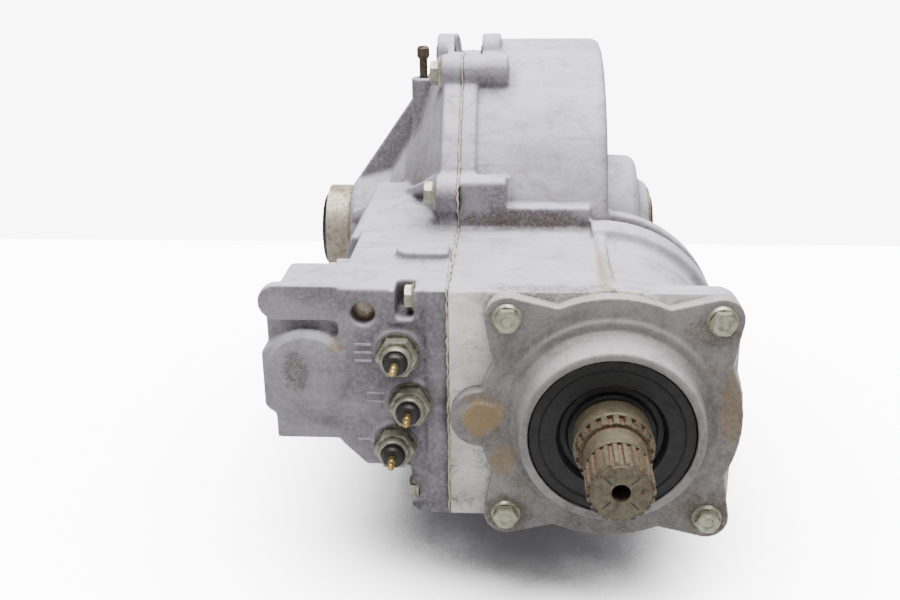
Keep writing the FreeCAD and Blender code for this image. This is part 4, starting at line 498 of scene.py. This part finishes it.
bead = {"radius": 0.00075, "wander": 0.0005, "step": 0.0028, "sides": 7, "seed": 4, "lowest": -0.068,
        "topEnd": 72, "rearStart": 124.0, "rearStep": 1.2, "rearCount": 100}
rim = {"radius": 0.153, "bossCircle": 0.152, "bossRadius": 0.013,
       "bosses": (25.7, 63.0, 131.0, 165.0, 200.0, 305.0)}


def rimPoint(angle):
    # a point of the parting's outer edge, out over the bolt bosses
    reach = rim["radius"]
    for boss in rim["bosses"]:
        side = rim["bossCircle"] * math.sin(math.radians(angle - boss))
        ahead = rim["bossCircle"] * math.cos(math.radians(angle - boss))
        if abs(side) < rim["bossRadius"] and ahead > 0:
            reach = max(reach, ahead + math.sqrt(rim["bossRadius"] ** 2 - side ** 2))
    turn = math.radians(angle)
    return Vector((partingX, outputY - reach * math.cos(turn), outputZ + reach * math.sin(turn)))


def beadPaths():
    # down the front, along the panel, over the top as far as the ears, and down the rear
    corner = Vector((partingX, caseFrontY, panelZ))
    joint = math.degrees(math.asin((panelZ - outputZ) / rim["radius"]))
    landing = Vector((partingX, outputY - rim["radius"] * math.cos(math.radians(joint)), panelZ))
    front = [Vector((partingX, caseFrontY, bead["lowest"])), corner]
    top = [rimPoint(joint + 1.0 + step) for step in range(int(bead["topEnd"] - joint))]
    rear = [rimPoint(bead["rearStart"] + bead["rearStep"] * step) for step in range(bead["rearCount"])]
    return [front, [corner, landing], top, rear]


def evenPoints(path):
    points = []
    for first, last in zip(path, path[1:]):
        count = max(1, round((last - first).length / bead["step"]))
        points += [first.lerp(last, i / count) for i in range(count)]
    return points + [path[-1]]


def beadRing(mesh, centre, side, out, thick):
    turns = [2 * math.pi * k / bead["sides"] for k in range(bead["sides"])]
    return [mesh.verts.new(centre + (side * math.cos(turn) + out * math.sin(turn)) * thick) for turn in turns]


def layBead():
    # a thin uneven rope, closed at both ends
    chance = random.Random(bead["seed"])
    side = Vector((1, 0, 0))
    mesh = bmesh.new()
    for path in beadPaths():
        points = evenPoints(path)
        rings = []
        for i, point in enumerate(points):
            along = (points[min(i + 1, len(points) - 1)] - points[max(i - 1, 0)]).normalized()
            out = side.cross(along).normalized()
            thick = bead["radius"] * (0.35 if i in (0, len(points) - 1) else chance.uniform(0.5, 1.3))
            centre = point + side * chance.uniform(-1, 1) * bead["wander"]
            rings.append(beadRing(mesh, centre, side, out, thick))
        for ring, following in zip(rings, rings[1:]):
            for k in range(bead["sides"]):
                after = (k + 1) % bead["sides"]
                mesh.faces.new((ring[k], ring[after], following[after], following[k]))
        mesh.faces.new(rings[0])
        mesh.faces.new(list(reversed(rings[-1])))
    finishPiece(mesh, "sealantBead", 0, finishes["sealant"])


layBead()


# raised bars beside the switches: three, two and one

bars = {"length": 0.0105, "width": 0.0014, "height": 0.0008, "ease": 0.0003, "places": (
    (-0.1434, 0.0412), (-0.1435, 0.0362), (-0.1437, 0.0310), (-0.1368, 0.0103), (-0.1369, 0.0047),
    (-0.1431, -0.0203))}


def makeBars():
    # each bar is sunk by half of its depth into the face of the box
    mesh = bmesh.new()
    for x, z in bars["places"]:
        made = bmesh.ops.create_cube(mesh, size=1.0)
        for vertex in made["verts"]:
            vertex.co = Vector((x + vertex.co.x * bars["length"], boxFaceY + 2 * vertex.co.y * bars["height"],
                                z + vertex.co.z * bars["width"]))
    finishPiece(mesh, "positionBars", bars["ease"], leftFinish)


makeBars()
print("sealant bead and marks laid")


# floor, backdrop, light and camera

cameraSet = {"place": (-0.0534, -0.4933, 0.2911), "pitch": 20.7, "yaw": 3.8, "roll": -0.7, "lens": 44.0}


def turnAbout(axis, degrees):
    # rotation of the axes, seen from the camera (x right, y down, z forward)
    return Matrix.Rotation(math.radians(degrees), 3, axis)


def makeCamera():
    data = bpy.data.cameras.new("photoCamera")
    data.lens = cameraSet["lens"]
    data.clip_start = 0.01
    camera = bpy.data.objects.new("photoCamera", data)
    bpy.context.collection.objects.link(camera)
    level = Matrix(((1, 0, 0), (0, 0, -1), (0, 1, 0)))
    look = (turnAbout("Z", cameraSet["roll"]) @ turnAbout("X", cameraSet["pitch"])
            @ turnAbout("Y", cameraSet["yaw"]) @ level)
    right, down, ahead = look[0], look[1], look[2]
    camera.matrix_world = Matrix((
        (right[0], -down[0], -ahead[0], cameraSet["place"][0]),
        (right[1], -down[1], -ahead[1], cameraSet["place"][1]),
        (right[2], -down[2], -ahead[2], cameraSet["place"][2]),
        (0, 0, 0, 1)))
    bpy.context.scene.camera = camera


# table top and wall: size, tint and the light that only the camera sees
stageSet = {
    "middle": -0.05, "floorY": -0.7, "floorSize": (4.4, 3.0, 1), "floorTint": (0.6, 0.6, 0.61, 1),
    "floorGlow": 11.0, "wallY": 1.6, "wallSize": (9, 4.5, 1), "wallTint": (0.6, 0.6, 0.62, 1),
    "wallGlow": 8.0, "glowTint": (0.99, 0.99, 1.0, 1), "shadowReach": 0.42,
}


def makeStage():
    # pale table top and wall, burnt out as in the photo except in the shadow of the unit
    bpy.ops.object.select_all(action="DESELECT")
    bpy.ops.mesh.primitive_plane_add(size=1, location=(stageSet["middle"], stageSet["floorY"], groundZ))
    floor = bpy.context.object
    floor.name = "floor"
    floor.scale = stageSet["floorSize"]
    bpy.ops.mesh.primitive_plane_add(size=1, location=(stageSet["middle"], stageSet["wallY"], groundZ),
                                     rotation=(math.pi / 2, 0, 0))
    wall = bpy.context.object
    wall.name = "wall"
    wall.scale = stageSet["wallSize"]
    for piece, tint, glow in ((floor, stageSet["floorTint"], stageSet["floorGlow"]),
                              (wall, stageSet["wallTint"], stageSet["wallGlow"])):
        material, tree, shader = newMaterial(piece.name + "Paint")
        place = addNode(tree, "ShaderNodeTexCoord").outputs["Object"]
        shade = remap(tree, noise(tree, place, 3.0), 0.3, 0.7, 0.97, 1.0)
        tree.links.new(blend(tree, 1.0, tint, shade, "MULTIPLY"), shader.inputs["Base Color"])
        shader.inputs["Roughness"].default_value = 0.6
        seen = addNode(tree, "ShaderNodeLightPath").outputs["Is Camera Ray"]
        # painted shadow: the glow that only the camera sees fades where occlusion is high, so the floor
        # darkens around and under the unit
        openness = occlusion(tree, stageSet["shadowReach"], 16)
        glowCutByPaintedShadow = compute(tree, "MULTIPLY", remap(tree, openness, 0.36, 0.96), glow)
        tree.links.new(compute(tree, "MULTIPLY", seen, glowCutByPaintedShadow), shader.inputs["Emission Strength"])
        shader.inputs["Emission Color"].default_value = stageSet["glowTint"]
        piece.data.materials.append(material)


lights = {
    "overhead": {"place": (-0.05, 0.3, 1.5), "aim": (-0.05, 0.2, 0), "size": 1.7, "power": 88},
    "front": {"place": (-0.5, -1.5, 1.1), "aim": (-0.05, 0.1, 0), "size": 1.2, "power": 2.5},
    "back": {"place": (0.4, 1.2, 1.2), "aim": (-0.05, 0.4, 0), "size": 1.2, "power": 10},
}
skyStrength = 0.3


def makeLights():
    for name, light in lights.items():
        data = bpy.data.lights.new(name, "AREA")
        data.size = light["size"]
        data.energy = light["power"]
        lamp = bpy.data.objects.new(name, data)
        bpy.context.collection.objects.link(lamp)
        lamp.location = light["place"]
        aim = Vector(light["aim"]) - Vector(light["place"])
        lamp.rotation_euler = aim.to_track_quat("-Z", "Y").to_euler()
    world = bpy.data.worlds.new("studio")
    bpy.context.scene.world = world
    world.use_nodes = True
    world.node_tree.nodes["Background"].inputs[0].default_value = (1, 1, 1, 1)
    world.node_tree.nodes["Background"].inputs[1].default_value = skyStrength


makeCamera()
makeStage()
makeLights()
print("stage, lights and camera set")
